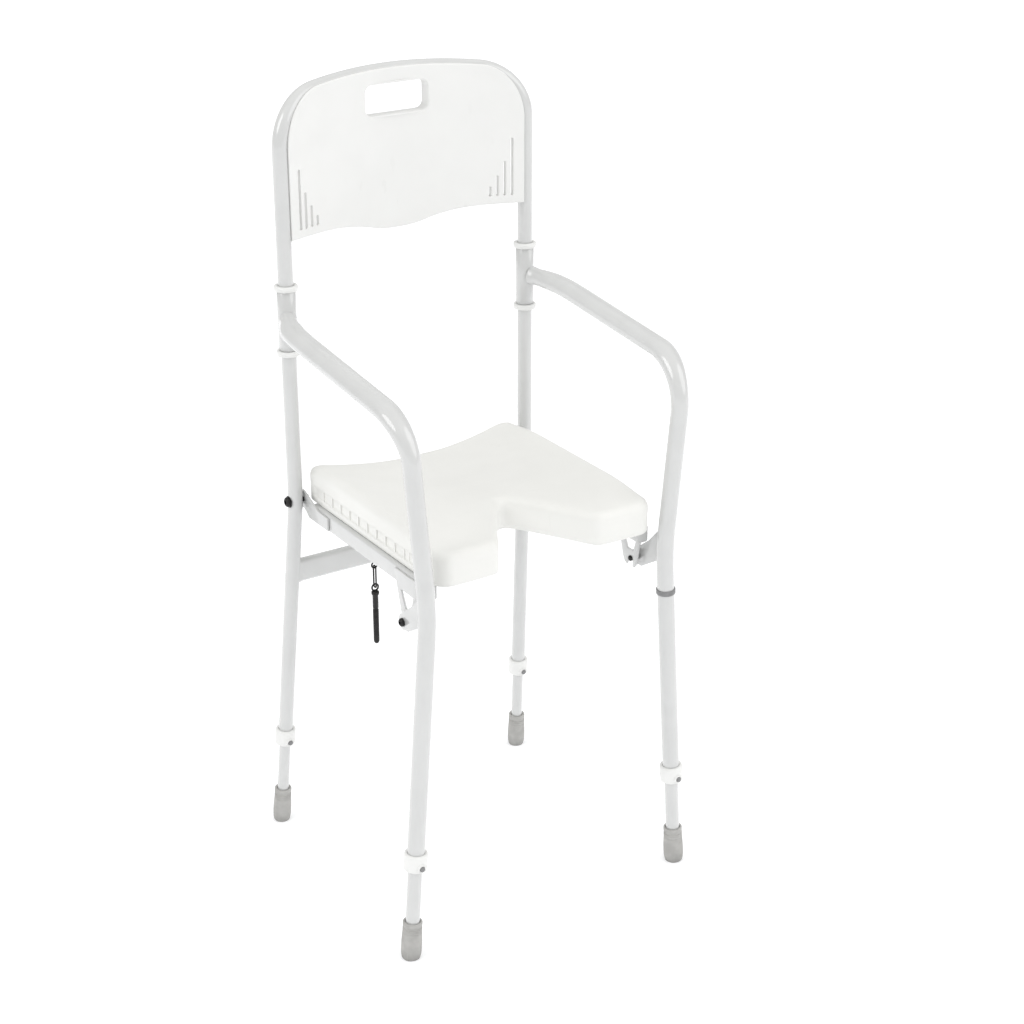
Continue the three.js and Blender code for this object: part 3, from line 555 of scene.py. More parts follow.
FINISHES = (
    Finish("white_coat", (0.59, 0.595, 0.59), (0.57, 0.575, 0.57), (0.3, 0.38), coat=1.0, grain_scale=420.0,
           ripple=0.7, bump=0.12, depth=0.04, scuff=(0.6, 0.6, 0.59), scuff_amount=0.06, mottle_scale=30.0),
    Finish("white_plastic", (0.79, 0.792, 0.78), (0.77, 0.772, 0.76), (0.36, 0.46), grain_scale=1100.0,
           ripple=0.25, bump=0.3, depth=0.05, scuff=(0.6, 0.6, 0.58), scuff_amount=0.1),
    Finish("seat_plastic", (0.8, 0.8, 0.775), (0.775, 0.775, 0.75), (0.4, 0.52), grain_scale=750.0,
           ripple=0.2, bump=0.45, depth=0.09, scuff=(0.7, 0.7, 0.67), scuff_amount=0.14, mottle_scale=9.0),
    Finish("black_steel", (0.02, 0.02, 0.021), (0.035, 0.034, 0.033), (0.3, 0.45), metallic=0.7,
           grain_scale=1500.0, bump=0.3, depth=0.04, scuff=(0.25, 0.24, 0.23), scuff_amount=0.5,
           mottle_scale=120.0),
    Finish("dark_plastic", (0.2, 0.2, 0.203), (0.24, 0.24, 0.243), (0.4, 0.55), grain_scale=1600.0,
           ripple=0.2, bump=0.4, depth=0.05, scuff=(0.2, 0.2, 0.2), scuff_amount=0.3, mottle_scale=90.0),
    # rubber feet: colour made darker towards the floor over their lowest 20 mm
    Finish("grey_rubber", (0.43, 0.425, 0.41), (0.37, 0.365, 0.352), (0.6, 0.78), grain_scale=1300.0,
           ripple=0.3, bump=0.6, depth=0.12, scuff=(0.62, 0.61, 0.59), scuff_amount=0.3, darkening_height=0.02,
           mottle_scale=60.0),
    Finish("zinc", (0.62, 0.63, 0.63), (0.5, 0.51, 0.52), (0.22, 0.42), metallic=0.95, grain_scale=700.0,
           ripple=0.6, bump=0.3, depth=0.04, scuff=(0.35, 0.35, 0.34), scuff_amount=0.4, mottle_scale=150.0),
)


class Workshop:
    """Holds the finishes and puts each finished piece on its body."""

    def __init__(self) -> None:
        """Builds the shared node groups and one material for each finish."""
        groups = {"grain": grain_group(), "mottle": mottle_group(), "scuff": scuff_group(),
                  "low_darkening": low_darkening_group()}
        self.materials = {finish.slot: finish.material(groups) for finish in FINISHES}

    def dress(self, piece: bpy.types.Object, slot: str, body: str, *nodes: str) -> bpy.types.Object:
        """Gives a piece its finish, its body and the CAD nodes that it stands for.

        Args:
            piece: The finished object.
            slot: The record's material slot.
            body: The body that it moves with.
            nodes: CAD nodes that it replaces.

        Returns:
            The piece.
        """
        piece.data.materials.clear()
        piece.data.materials.append(self.materials[slot])
        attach(piece, body)
        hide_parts(*nodes)
        LOG.info("%s: %d faces, on body %s", piece.name, len(piece.data.polygons), body)
        return piece


# ---------------------------------------------------------------- camera, light and floor
@dataclass(frozen=True)
class Studio:
    """Camera, lights and floor round the chair. Places are in metres."""

    camera_place: tuple[float, float, float] = (-1.430, -2.344, 1.762)
    camera_back: tuple[float, float, float] = (-0.4951, -0.7706, 0.4014)
    lens: float = 72.29
    sensor: float = 36.0
    # name, azimuth, height, strength and spread of each light
    suns: tuple[tuple[str, float, float, float, float], ...] = (
        ("key_left", -88.0, 36.0, 0.7, 35.0), ("key_right", 42.0, 30.0, 0.75, 50.0))
    surround: tuple[float, float] = (0.74, 1.1)
    surround_rise: tuple[float, float] = (0.45, 0.95)
    surround_colour: tuple[float, float, float, float] = (1.0, 0.998, 0.99, 1.0)
    floor_reach: float = 12000.0
    floor_colour: tuple[float, float, float, float] = (0.86, 0.865, 0.88, 1.0)
    floor_glow: float = 0.25

    def camera(self) -> None:
        """Makes the camera, level, looking against its back vector."""
        data = bpy.data.cameras.new("camera")
        data.lens, data.sensor_width = self.lens, self.sensor
        made = bpy.data.objects.new("camera", data)
        bpy.context.scene.collection.objects.link(made)
        made.location = self.camera_place
        made.rotation_mode = "QUATERNION"
        made.rotation_quaternion = (-Vector(self.camera_back)).to_track_quat("-Z", "Y")
        bpy.context.scene.camera = made

    def sun(self, name: str, azimuth: float, height: float, strength: float, spread: float) -> None:
        """Makes a soft distant light.

        Args:
            name: Name of the light.
            azimuth: Degrees that it stands to the right of -Y, as seen from the front.
            height: Degrees above the horizon.
            strength: Power on a square surface.
            spread: Apparent width in degrees, which softens its shadows.
        """
        data = bpy.data.lights.new(name, "SUN")
        data.energy, data.angle = strength, math.radians(spread)
        made = bpy.data.objects.new(name, data)
        bpy.context.scene.collection.objects.link(made)
        a, e = math.radians(azimuth), math.radians(height)
        back = Vector((math.sin(a) * math.cos(e), -math.cos(a) * math.cos(e), math.sin(e)))
        made.rotation_mode = "QUATERNION"
        made.rotation_quaternion = (-back).to_track_quat("-Z", "Y")

    def lights(self) -> None:
        """A soft light at each side, and a surround that is brighter overhead than at the horizon."""
        for light in self.suns:
            self.sun(*light)
        world = bpy.data.worlds.new("surround")
        world.use_nodes = True
        tree = world.node_tree
        place = tree.nodes.new("ShaderNodeTexCoord")
        split = tree.nodes.new("ShaderNodeSeparateXYZ")
        tree.links.new(place.outputs["Generated"], split.inputs["Vector"])
        fade = ranged(tree, split.outputs["Z"], *self.surround_rise)
        fade.inputs["To Min"].default_value, fade.inputs["To Max"].default_value = self.surround
        tree.links.new(fade.outputs["Result"], tree.nodes["Background"].inputs["Strength"])
        tree.nodes["Background"].inputs["Color"].default_value = self.surround_colour
        bpy.context.scene.world = world
        bpy.context.scene.view_settings.view_transform = "Standard"

    def floor(self) -> None:
        """A wide pale floor with a slow swell of a tenth of a millimetre, lit a little from itself."""
        reach, count = self.floor_reach, 25
        u = np.linspace(-reach, reach, count)
        x, y = np.meshgrid(u, u, indexing="ij")
        z = -0.2 - 0.1 * (1 - np.cos(x / reach) * np.cos(y / reach))
        made = Shell().add(np.stack([x, y, z], -1), around=False).object("floor")
        material = bpy.data.materials.new("pale_floor")
        material.use_nodes = True
        shader = material.node_tree.nodes["Principled BSDF"]
        shader.inputs["Roughness"].default_value = 0.9
        shader.inputs["Specular IOR Level"].default_value = 0.1
        shader.inputs["Base Color"].default_value = self.floor_colour
        shader.inputs["Emission Color"].default_value = (1.0, 1.0, 1.0, 1.0)
        shader.inputs["Emission Strength"].default_value = self.floor_glow
        made.data.materials.append(material)
        if made.data.polygons[0].normal.z < 0:
            made.data.flip_normals()


# ---------------------------------------------------------------- tube frame
@dataclass(frozen=True)
class FrameLines:
    """Centre lines and sections that the tubes and the parts on them share."""

    rear_radius: float = 11.0
    rear_bore: float = 9.5
    front_radius: float = 12.5
    front_bore: float = 11.0
    post: tuple[float, float] = (200.0, 157.5)
    pivot: tuple[float, float] = (158.0, 567.0)
    rear_foot: tuple[float, float] = (221.8, 215.0)
    knee: tuple[float, float, float] = (196.3, -216.0, 535.0)
    front_foot: tuple[float, float] = (233.8, -215.0)
    joint_height: float = 845.0
    corner: tuple[float, float] = (125.0, 1086.0)
    corner_radius: float = 75.0
    corner_sweep: float = 1.449
    bow: float = 42.0
    tube_end: float = 162.0

    def bow_at(self, x: Array) -> Array:
        """How far back the hoop stands at x: post + bow (1 - (x/post)^2)."""
        return self.post[1] + self.bow * (1.0 - (x / self.post[0]) ** 2)

    def foot(self, place: str, side: float) -> Array:
        """Middle of a foot on the floor."""
        x, y = self.front_foot if place == "front" else self.rear_foot
        return np.array([side * x, y, 0.0])

    def kink(self, place: str, side: float) -> Array:
        """Corner at which a lower leg's line starts."""
        if place == "front":
            return np.array([side * self.knee[0], self.knee[1], self.knee[2]])
        return np.array([side * self.post[0], self.post[1], self.pivot[1]])

    def crown(self, half: float, steep: float) -> float:
        """Rise of a flat parabola that leaves its end at the slope of the corner."""
        return half / 2 * math.tan(math.pi / 2 - steep)


LINES = FrameLines()


@dataclass(frozen=True)
class TubeFrame:
    """The bent tubes, the sleeves with their collars and the crossbar."""

    sleeve: tuple[float, float] = (801.0, 888.0)
    sleeve_bore: float = 11.6
    sleeve_radius: float = 13.6
    collar_height: float = 8.0
    collar_radius: float = 17.2
    arm_x: float = 222.0
    arm_half: tuple[float, float] = (18.0, 13.0)
    bend_radius: float = 72.0
    bend_height: float = 744.3
    bend_x: float = 215.0
    slope: float = 0.096
    ring_span: tuple[float, float] = (465.0, 473.0)
    ring_radius: float = 14.1
    bar_place: tuple[float, float] = (169.6, 448.0)
    bar_end: float = 198.2
    bar_half: float = 7.0
    bar_bore: float = 5.5
    bar_straight: float = 11.5

    def build(self, shop: Workshop) -> None:
        """Builds every tube of the frame.

        Args:
            shop: The workshop that dresses the pieces.
        """
        shop.dress(self.hoop(), "white_coat", Body.FRAME.value, "back_hoop_tube")
        shop.dress(self.crossbar(), "white_coat", Body.FRAME.value, "rear_crossbar")
        shop.dress(self.stop_ring(), "dark_plastic", Body.FRAME.value, "leg_stop_ring_left")
        for name, side in SIDES.items():
            shop.dress(self.rear_leg(name, side), "white_coat", Body.FRAME.value, f"rear_leg_tube_{name}")
            shop.dress(self.arm(name, side), "white_coat", Body.FRAME.value, f"arm_leg_tube_{name}")
            shop.dress(self.sleeve_tube(name, side), "white_coat", Body.FRAME.value, f"arm_sleeve_{name}")
            for level, low in (("upper", self.sleeve[1] + GAP),
                               ("lower", self.sleeve[0] - GAP - self.collar_height)):
                made = self.collar(f"sleeve_ring_{level}_{name}", side, low)
                shop.dress(made, "white_plastic", Body.FRAME.value, f"sleeve_collar_{level}_{name}")

    def hoop(self) -> bpy.types.Object:
        """The hoop: uprights, round corners and a crowned top, bowed back towards its middle.

        Returns:
            A tube along the line (x, bow(x), z), hollow, open at its two lower ends.
        """
        x0, z0 = LINES.corner
        angle = np.linspace(0.0, LINES.corner_sweep, 28)
        corner = np.stack([x0 + LINES.corner_radius * np.cos(angle),
                           z0 + LINES.corner_radius * np.sin(angle)], -1)
        end_x, end_z = corner[-1]
        rise = LINES.crown(end_x, LINES.corner_sweep)
        share = np.linspace(1.0, 0.0, 20)[1:]
        top = np.stack([end_x * share, end_z + rise * (1 - share**2)], -1)
        upright = np.array([[LINES.post[0], z] for z in (LINES.joint_height + GAP / 2, 900.0, 960.0, 1030.0)])
        half = np.vstack([upright, corner, top])
        flat = np.vstack([half, half[-2::-1] * (-1.0, 1.0)])
        line = np.column_stack([flat[:, 0], LINES.bow_at(flat[:, 0]), flat[:, 1]])
        side = np.array([0.0, 1.0, 0.0])
        tube = Shell().pipe(swept(line, side, LINES.rear_radius, LINES.rear_radius),
                            swept(line, side, LINES.rear_bore, LINES.rear_bore))
        return tube.object("hoop_tube")

    def rear_leg(self, name: str, side: float) -> bpy.types.Object:
        """The post and the splayed rear leg below it, as one tube with a rounded kink."""
        top = np.array([side * LINES.post[0], LINES.post[1], LINES.joint_height - GAP / 2])
        kink, foot = LINES.kink("rear", side), LINES.foot("rear", side)
        rounded = bend(top, kink, foot, 28.0, 14)
        line = np.vstack([top, rounded, toward(foot, kink, LINES.tube_end)])
        ahead = np.array([0.0, 1.0, 0.0])
        tube = Shell().pipe(swept(line, ahead, LINES.rear_radius, LINES.rear_radius),
                            swept(line, ahead, LINES.rear_bore, LINES.rear_bore))
        return tube.object(f"rear_leg_{name}")

    def arm_line(self, side: float) -> tuple[Array, Array]:
        """Centre line of an armrest and the front leg below it.

        Args:
            side: -1 for the sitter's right and 1 for the left.

        Returns:
            The line, and the count along it that the section's shape follows: 0 at the sleeve,
            6 where the front bend starts and 12 where it ends.
        """
        turn, start = 0.35, self.sleeve_radius - 1.2
        rear = np.array([
            [LINES.post[0] + start * math.sin(turn), LINES.post[1] - start * math.cos(turn), 846.0],
            [212.5, 124.0, 844.5], [218.6, 101.0, 842.8], [221.4, 74.0, 840.6], [self.arm_x, 40.0, 837.0],
            [self.arm_x, -55.0, 826.5],
        ])
        curve = catmull(rear[:5], 8)
        turned_by = np.linspace(self.slope, math.pi / 2, 30)
        share = np.linspace(0.0, 1.0, 30)
        lean = 0.5 - 0.5 * np.cos(math.pi * share)
        bend_y = LINES.knee[1] + self.bend_radius
        front = np.column_stack([
            self.arm_x + (self.bend_x - self.arm_x) * lean,
            bend_y - self.bend_radius * np.sin(turned_by),
            self.bend_height + self.bend_radius * np.cos(turned_by),
        ])
        knee, foot = LINES.kink("front", 1.0), LINES.foot("front", 1.0)
        rounded = bend(front[-1], knee, foot, 40.0, 14)
        line = np.vstack([curve, rear[5:], front, rounded, toward(foot, knee, LINES.tube_end)])
        station = np.concatenate([np.linspace(0, 4, len(curve)), [5.0], 6 + 6 * share,
                                  np.full(len(rounded) + 1, 13.0)])
        return line * (side, 1.0, 1.0), station

    def arm(self, name: str, side: float) -> bpy.types.Object:
        """Armrest, front bend and front leg in one tube, pressed to a flat oval along the armrest."""
        line, station = self.arm_line(side)
        flat = (1 - smooth_step(station, 6.0, 12.0)) * smooth_step(station, 0.0, 2.0)
        weld = 1.6 * (1 - smooth_step(station, 0.0, 0.5))
        wide = LINES.front_radius + (self.arm_half[0] - LINES.front_radius) * flat + weld
        high = LINES.front_radius + (self.arm_half[1] - LINES.front_radius) * flat + weld
        wall = LINES.front_radius - LINES.front_bore
        across = np.array([1.0, 0.0, 0.0])
        tube = Shell().pipe(swept(line, across, wide, high),
                            swept(line, across, wide - wall - weld, high - wall - weld))
        return tube.object(f"arm_and_leg_{name}")

    def sleeve_tube(self, name: str, side: float) -> bpy.types.Object:
        """Sleeve that the armrest is welded to, with both mouths rolled in."""
        low, high = self.sleeve
        r, b = self.sleeve_radius, self.sleeve_bore
        profile = [(b, low + 0.5), (b + 0.5, low), (r - 0.7, low), (r, low + 0.7), (r, high - 0.7),
                   (r - 0.7, high),
                   (b + 0.5, high), (b, high - 0.5)]
        shell = Shell().lathe(profile, (side * LINES.post[0], LINES.post[1], 0), (0, 0, 1), loop=True)
        return shell.object(f"sleeve_{name}", 50.0)

    def collar(self, name: str, side: float, low: float) -> bpy.types.Object:
        """Plastic ring with a rounded rim above or below a sleeve."""
        top, r, b = low + self.collar_height, self.collar_radius, self.sleeve_bore
        profile = [(b, low + 0.4), (b + 0.4, low), (r - 2.0, low), (r - 0.7, low + 0.5), (r, low + 2),
                   (r, top - 2),
                   (r - 0.7, top - 0.5), (r - 2.0, top), (b + 0.4, top), (b, top - 0.4)]
        shell = Shell().lathe(profile, (side * LINES.post[0], LINES.post[1], 0), (0, 0, 1), loop=True)
        return shell.object(name, 50.0)

    def crossbar(self) -> bpy.types.Object:
        """Flat oval tube between the rear legs, a little wider at both ends, which run into them."""
        end, (y_bar, z_bar) = self.bar_end, self.bar_place
        x = np.concatenate([np.linspace(-end, -186, 7), np.linspace(-180, 180, 9),
                            np.linspace(186, end, 7)])
        line = np.column_stack([x, np.full_like(x, y_bar), np.full_like(x, z_bar)])
        weld = smooth_step(np.abs(x), 188.0, 196.0)
        angle = np.linspace(0.0, 2 * math.pi, ROUND, endpoint=False)
        straight = np.where(np.sin(angle) >= 0, self.bar_straight, -self.bar_straight)
        def rings(half: Array) -> Array:
            """Stadium section: half circles of a radius on both ends of a straight side."""
            y = half[:, None] * np.cos(angle)
            z = half[:, None] * np.sin(angle) + straight
            return np.stack([np.repeat(line[:, :1], ROUND, 1), y + line[:, 1:2], z + line[:, 2:3]], -1)
        outside = rings(self.bar_half + weld)
        return Shell().pipe(outside, rings(np.full_like(x, self.bar_bore))).object("crossbar")

    def stop_ring(self) -> bpy.types.Object:
        """Grey ring with rounded rims round the left front leg."""
        foot, kink = LINES.foot("front", 1.0), LINES.kink("front", 1.0)
        (low, high), r = self.ring_span, self.ring_radius
        profile = [(12.7, low), (r - 0.6, low), (r, low + 0.7), (r, high - 0.7), (r - 0.6, high),
                   (12.7, high)]
        return Shell().lathe(profile, foot, kink - foot, loop=True).object("stop_ring", 50.0)


# ---------------------------------------------------------------- back panel
@dataclass(frozen=True)
class BackPanel:
    """The moulded panel in the hoop: skin, rim, hand-hole wall, ribs and slots."""

    half_width: float = 188.2
    bottom: float = 960.0
    skin: tuple[float, float] = (-15.0, -11.9)
    back: float = 5.0
    wall: float = 3.0
    top_cover: float = 18.0
    side_cover: float = 4.0
    slot_depth: float = 7.0
    side_closing: float = 3.9
    hole: tuple[float, float, float] = (51.0, 1109.0, 1153.0)
    hole_radius: float = 11.0
    slot_first: float = 143.0
    slot_pitch: float = 10.5
    slot_bottom: float = 972.0
    disc: tuple[float, float] = (1093.0, 178.0)
    screws: tuple[float, float] = (985.0, 1062.0)

    def build(self, shop: Workshop) -> None:
        """Builds the panel and its four screws.

        Args:
            shop: The workshop that dresses the pieces.
        """
        shop.dress(self.moulding(), "white_plastic", Body.FRAME.value, "back_panel")
        for name, side in SIDES.items():
            for i, z in enumerate(self.screws, 1):
                head = [(1.6, 0.3), (3.2, 0.0), (3.6, 0.5), (3.6, 1.2), (3.0, 2.2), (1.7, 2.7), (1.6, 2.7),
                        (1.4, 1.4), (0.3, 1.2)]
                shell = Shell().lathe(head, (side * 184.7, LINES.post[1], z), (-side, 0, 0), flats=(6, 7))
                shell.lathe([(1.8, 0), (1.8, 8.0), (1.2, 9.0)], (side * 184, LINES.post[1], z), (side, 0, 0))
                shop.dress(shell.object(f"back_screw_{name}_{i}"), "zinc", Body.FRAME.value,
                           f"panel_screw_{name}_{i}")

    def bottom_at(self, x: Array) -> Array:
        """Lower edge of the panel: level at the sides, with a belly that hangs 17 mm in the middle."""
        belly = np.array([[-188.2, 0], [-110, 1], [-64, 7], [-30, 15], [0, 17], [30, 15], [64, 7], [110, 1],
                          [188.2, 0]], float)
        curve = catmull(belly, 12)
        return self.bottom - np.interp(x, curve[:, 0], curve[:, 1])

    def top_at(self, x: Array, half: float, cover: float) -> Array:
        """Upper edge: a parabola over the middle and a quarter ellipse over each corner."""
        x0, z0 = LINES.corner
        rx, rz = half - x0, LINES.corner_radius - LINES.rear_radius - 0.8 + cover
        end_x, end_z = x0 + rx * math.cos(LINES.corner_sweep), z0 + rz * math.sin(LINES.corner_sweep)
        rise = LINES.crown(end_x, LINES.corner_sweep)
        share = np.clip((np.abs(x) - x0) / rx, 0.0, 1.0)
        corner = z0 + rz * np.sqrt(1 - share**2)
        return np.where(np.abs(x) > end_x, corner, end_z + rise * (1 - (x / end_x) ** 2))

    def rim_outline(self) -> Array:
        """Closed outline of the rim in x and z, counter-clockwise from the lower left corner."""
        lower = np.linspace(-self.half_width, self.half_width, 60)
        angle = np.linspace(0.0, LINES.corner_sweep, 22)
        x0 = LINES.corner[0]
        right = x0 + (self.half_width - x0) * np.cos(angle)
        upper = np.concatenate([right, np.linspace(right[-1], -right[-1], 40)[1:-1], -right[::-1]])
        side = np.linspace(self.bottom, LINES.corner[1], 8)[1:-1]
        walls = [np.column_stack([np.full(6, s * self.half_width), side[::int(s)]]) for s in (1, -1)]
        return np.vstack([np.column_stack([lower, self.bottom_at(lower)]), walls[0],
                          np.column_stack([upper, self.top_at(upper, self.half_width, 0.0)]), walls[1]])

    def banded(self, loop: Array, profile: Profile) -> Array:
        """Carries a closed profile along a closed outline.

        Args:
            loop: Outline in x and z, counter-clockwise.
            profile: Pairs of offset outwards from the outline and of depth from the bow line.

        Returns:
            Points outline + offset normal, with y = bow(x) + depth, as profile by loop by 3.
        """
        ahead = unit(np.roll(loop, -1, 0) - np.roll(loop, 1, 0))
        normal = np.column_stack([ahead[:, 1], -ahead[:, 0]])
        offset, depth = np.array(profile, float).T
        flat = loop[None] + normal[None] * offset[:, None, None]
        return np.stack([flat[..., 0], LINES.bow_at(flat[..., 0]) + depth[:, None], flat[..., 1]], -1)

    def skin_grid(self) -> Shell:
        """The skin: a bowed sheet whose front face turns back along its outline.

        Returns:
            Front points at y = bow(x) + front + drop, where drop is a quarter round of the distance
            to the outline, and back points behind them, joined round the edge. Past the rim the back
            steps towards the hoop, so that no open slit is left beside it.
        """
        front, back = self.skin
        half = self.half_width + self.side_cover
        angle = np.linspace(0.0, math.pi / 2 - 0.12, 26)
        corner = LINES.corner[0] + (half - LINES.corner[0]) * np.cos(angle)
        x = np.concatenate([corner, np.linspace(corner[-1], -corner[-1], 48)[1:-1], -corner[::-1]])[::-1]
        edge = np.array([0.0, 0.15, 0.5, 1.0, 1.6, 2.4])
        low, high = self.bottom_at(x)[:, None], self.top_at(x, half, self.top_cover)[:, None]
        share = np.linspace(0.0, 1.0, 46)
        middle = low + edge[-1] + (high - low - 2 * edge[-1]) * share
        z = np.concatenate([low + edge[:-1], middle, high - edge[-2::-1]], 1)
        slant = 1 / np.sqrt(1 + np.gradient(high[:, 0], x)[:, None] ** 2)
        distance = np.minimum(np.minimum(z - low, (high - z) * slant), half - np.abs(x)[:, None])
        reach = 2.2
        inside = np.clip(distance, 0.0, reach)
        drop = reach - np.sqrt(reach**2 - (reach - inside) ** 2)
        x2 = np.repeat(x[:, None], z.shape[1], 1)
        bow = LINES.bow_at(x2)
        closing = self.side_closing * smooth_step(np.abs(x2), self.half_width - 0.8, self.half_width + 1.6)
        faces = [np.stack([x2, bow + front + drop, z], -1), np.stack([x2, bow + back + closing, z], -1)]
        shell = Shell().add(faces[0], around=False).add(faces[1], around=False)
        loops = [np.concatenate([f[:-1, 0], f[-1, :-1], f[:0:-1, -1], f[0, :0:-1]]) for f in faces]
        return shell.add(np.stack(loops))

    def moulding(self) -> bpy.types.Object:
        """The whole panel: the cut skin with its rim, hand-hole wall and ribs."""
        half, low, high = self.hole
        made = self.skin_grid().object("back_moulding")
        grown = 2.4
        opening = rounded_box(-half - grown, half + grown, low - grown, high + grown,
                              self.hole_radius + grown, 10)
        tool = Shell().capped(self.through(opening))
        for slot in self.slots(0.4):
            tool.capped(self.through(slot))
        shaped(made, tool)
        extra = self.fittings().object("fittings")
        return merged(made, extra)

    def slots(self, grown: float) -> list[Array]:
        """Outlines of the slots, whose tops lie on a circle so that a plain disc is left between them."""
        outlines = []
        for side in SIDES.values():
            for i in range(4):
                x = self.slot_first + self.slot_pitch * i
                top = self.disc[0] - math.sqrt(self.disc[1] ** 2 - x**2)
                low_x, high_x = side * x - 2 - grown, side * x + 2 + grown
                outlines.append(rounded_box(low_x, high_x, self.slot_bottom - grown, top + grown,
                                            1.9 + grown, 8))
        return outlines

    def through(self, outline: Array) -> Array:
        """Two copies of an outline, one before and one behind the panel."""
        return np.stack([np.column_stack([outline[:, 0], np.full(len(outline), y),
                                          outline[:, 1]]) for y in (120.0, 230.0)])

    def fittings(self) -> Shell:
        """Rim, hand-hole wall with a rounded lip, and the ribs behind the skin."""
        half, low, high = self.hole
        front, back, inner = self.skin[0], self.back, self.skin[1] - 1.0
        grip = rounded_box(-half, half, low, high, self.hole_radius, 10)
        lip = [(2.7, front + 0.15), (2.4, front - 0.02), (1.4, front), (0.7, front + 0.35),
               (0.2, front + 1.0), (0.0, front + 2.0),
               (0.0, back - 0.7), (0.5, back), (self.wall - 0.5, back), (self.wall, back - 0.7),
               (self.wall, inner + 0.6)]
        shell = Shell().add(self.banded(grip, lip), along=True)
        deep = front + self.slot_depth
        lip = [(0.6, front + 0.1), (0.5, front), (0.1, front + 0.25), (0.0, front + 0.9), (0.0, deep),
               (1.2, deep), (1.2, inner + 0.5)]
        for slot in self.slots(0.0):
            shell.add(self.banded(slot, lip), along=True)
        rim = [(0.0, inner), (0.0, back - 0.8), (-0.6, back), (-self.wall + 0.6, back),
               (-self.wall, back - 0.8), (-self.wall, inner)]
        shell.add(self.banded(self.rim_outline(), rim), along=True)
        for x in (-96.0, -32.0, 32.0, 96.0):
            y = float(LINES.bow_at(x))
            foot = float(self.bottom_at(x)) + 1.5
            section = np.array([[x - 1.2, y + inner], [x + 1.2, y + inner], [x + 0.9, y - 2.0],
                                [x - 0.9, y - 2.0]])
            top = low - 1.5 if abs(x) < half else 1088.5
            shell.capped(np.stack([np.column_stack([section, np.full(4, z)]) for z in (foot, top)]))
        x = np.linspace(-186.0, 186.0, 40)
        bow = LINES.bow_at(x)
        corners = [(inner, 1087.8), (inner, 1090.2), (-2.0, 1089.9), (-2.0, 1088.1)]
        shell.capped(np.stack([np.column_stack([x, bow + depth, np.full_like(x, z)]) for depth,
                               z in corners], 1))
        return shell


def merged(piece: bpy.types.Object, extra: bpy.types.Object) -> bpy.types.Object:
    """Adds another object's surfaces to a piece's mesh and removes that object."""
    work = bmesh.new()
    work.from_mesh(piece.data)
    work.from_mesh(extra.data)
    work.to_mesh(piece.data)
    work.free()
    bpy.data.objects.remove(extra)
    piece.data.shade_smooth()
    piece.data.set_sharp_from_angle(angle=math.radians(40.0))
    return piece


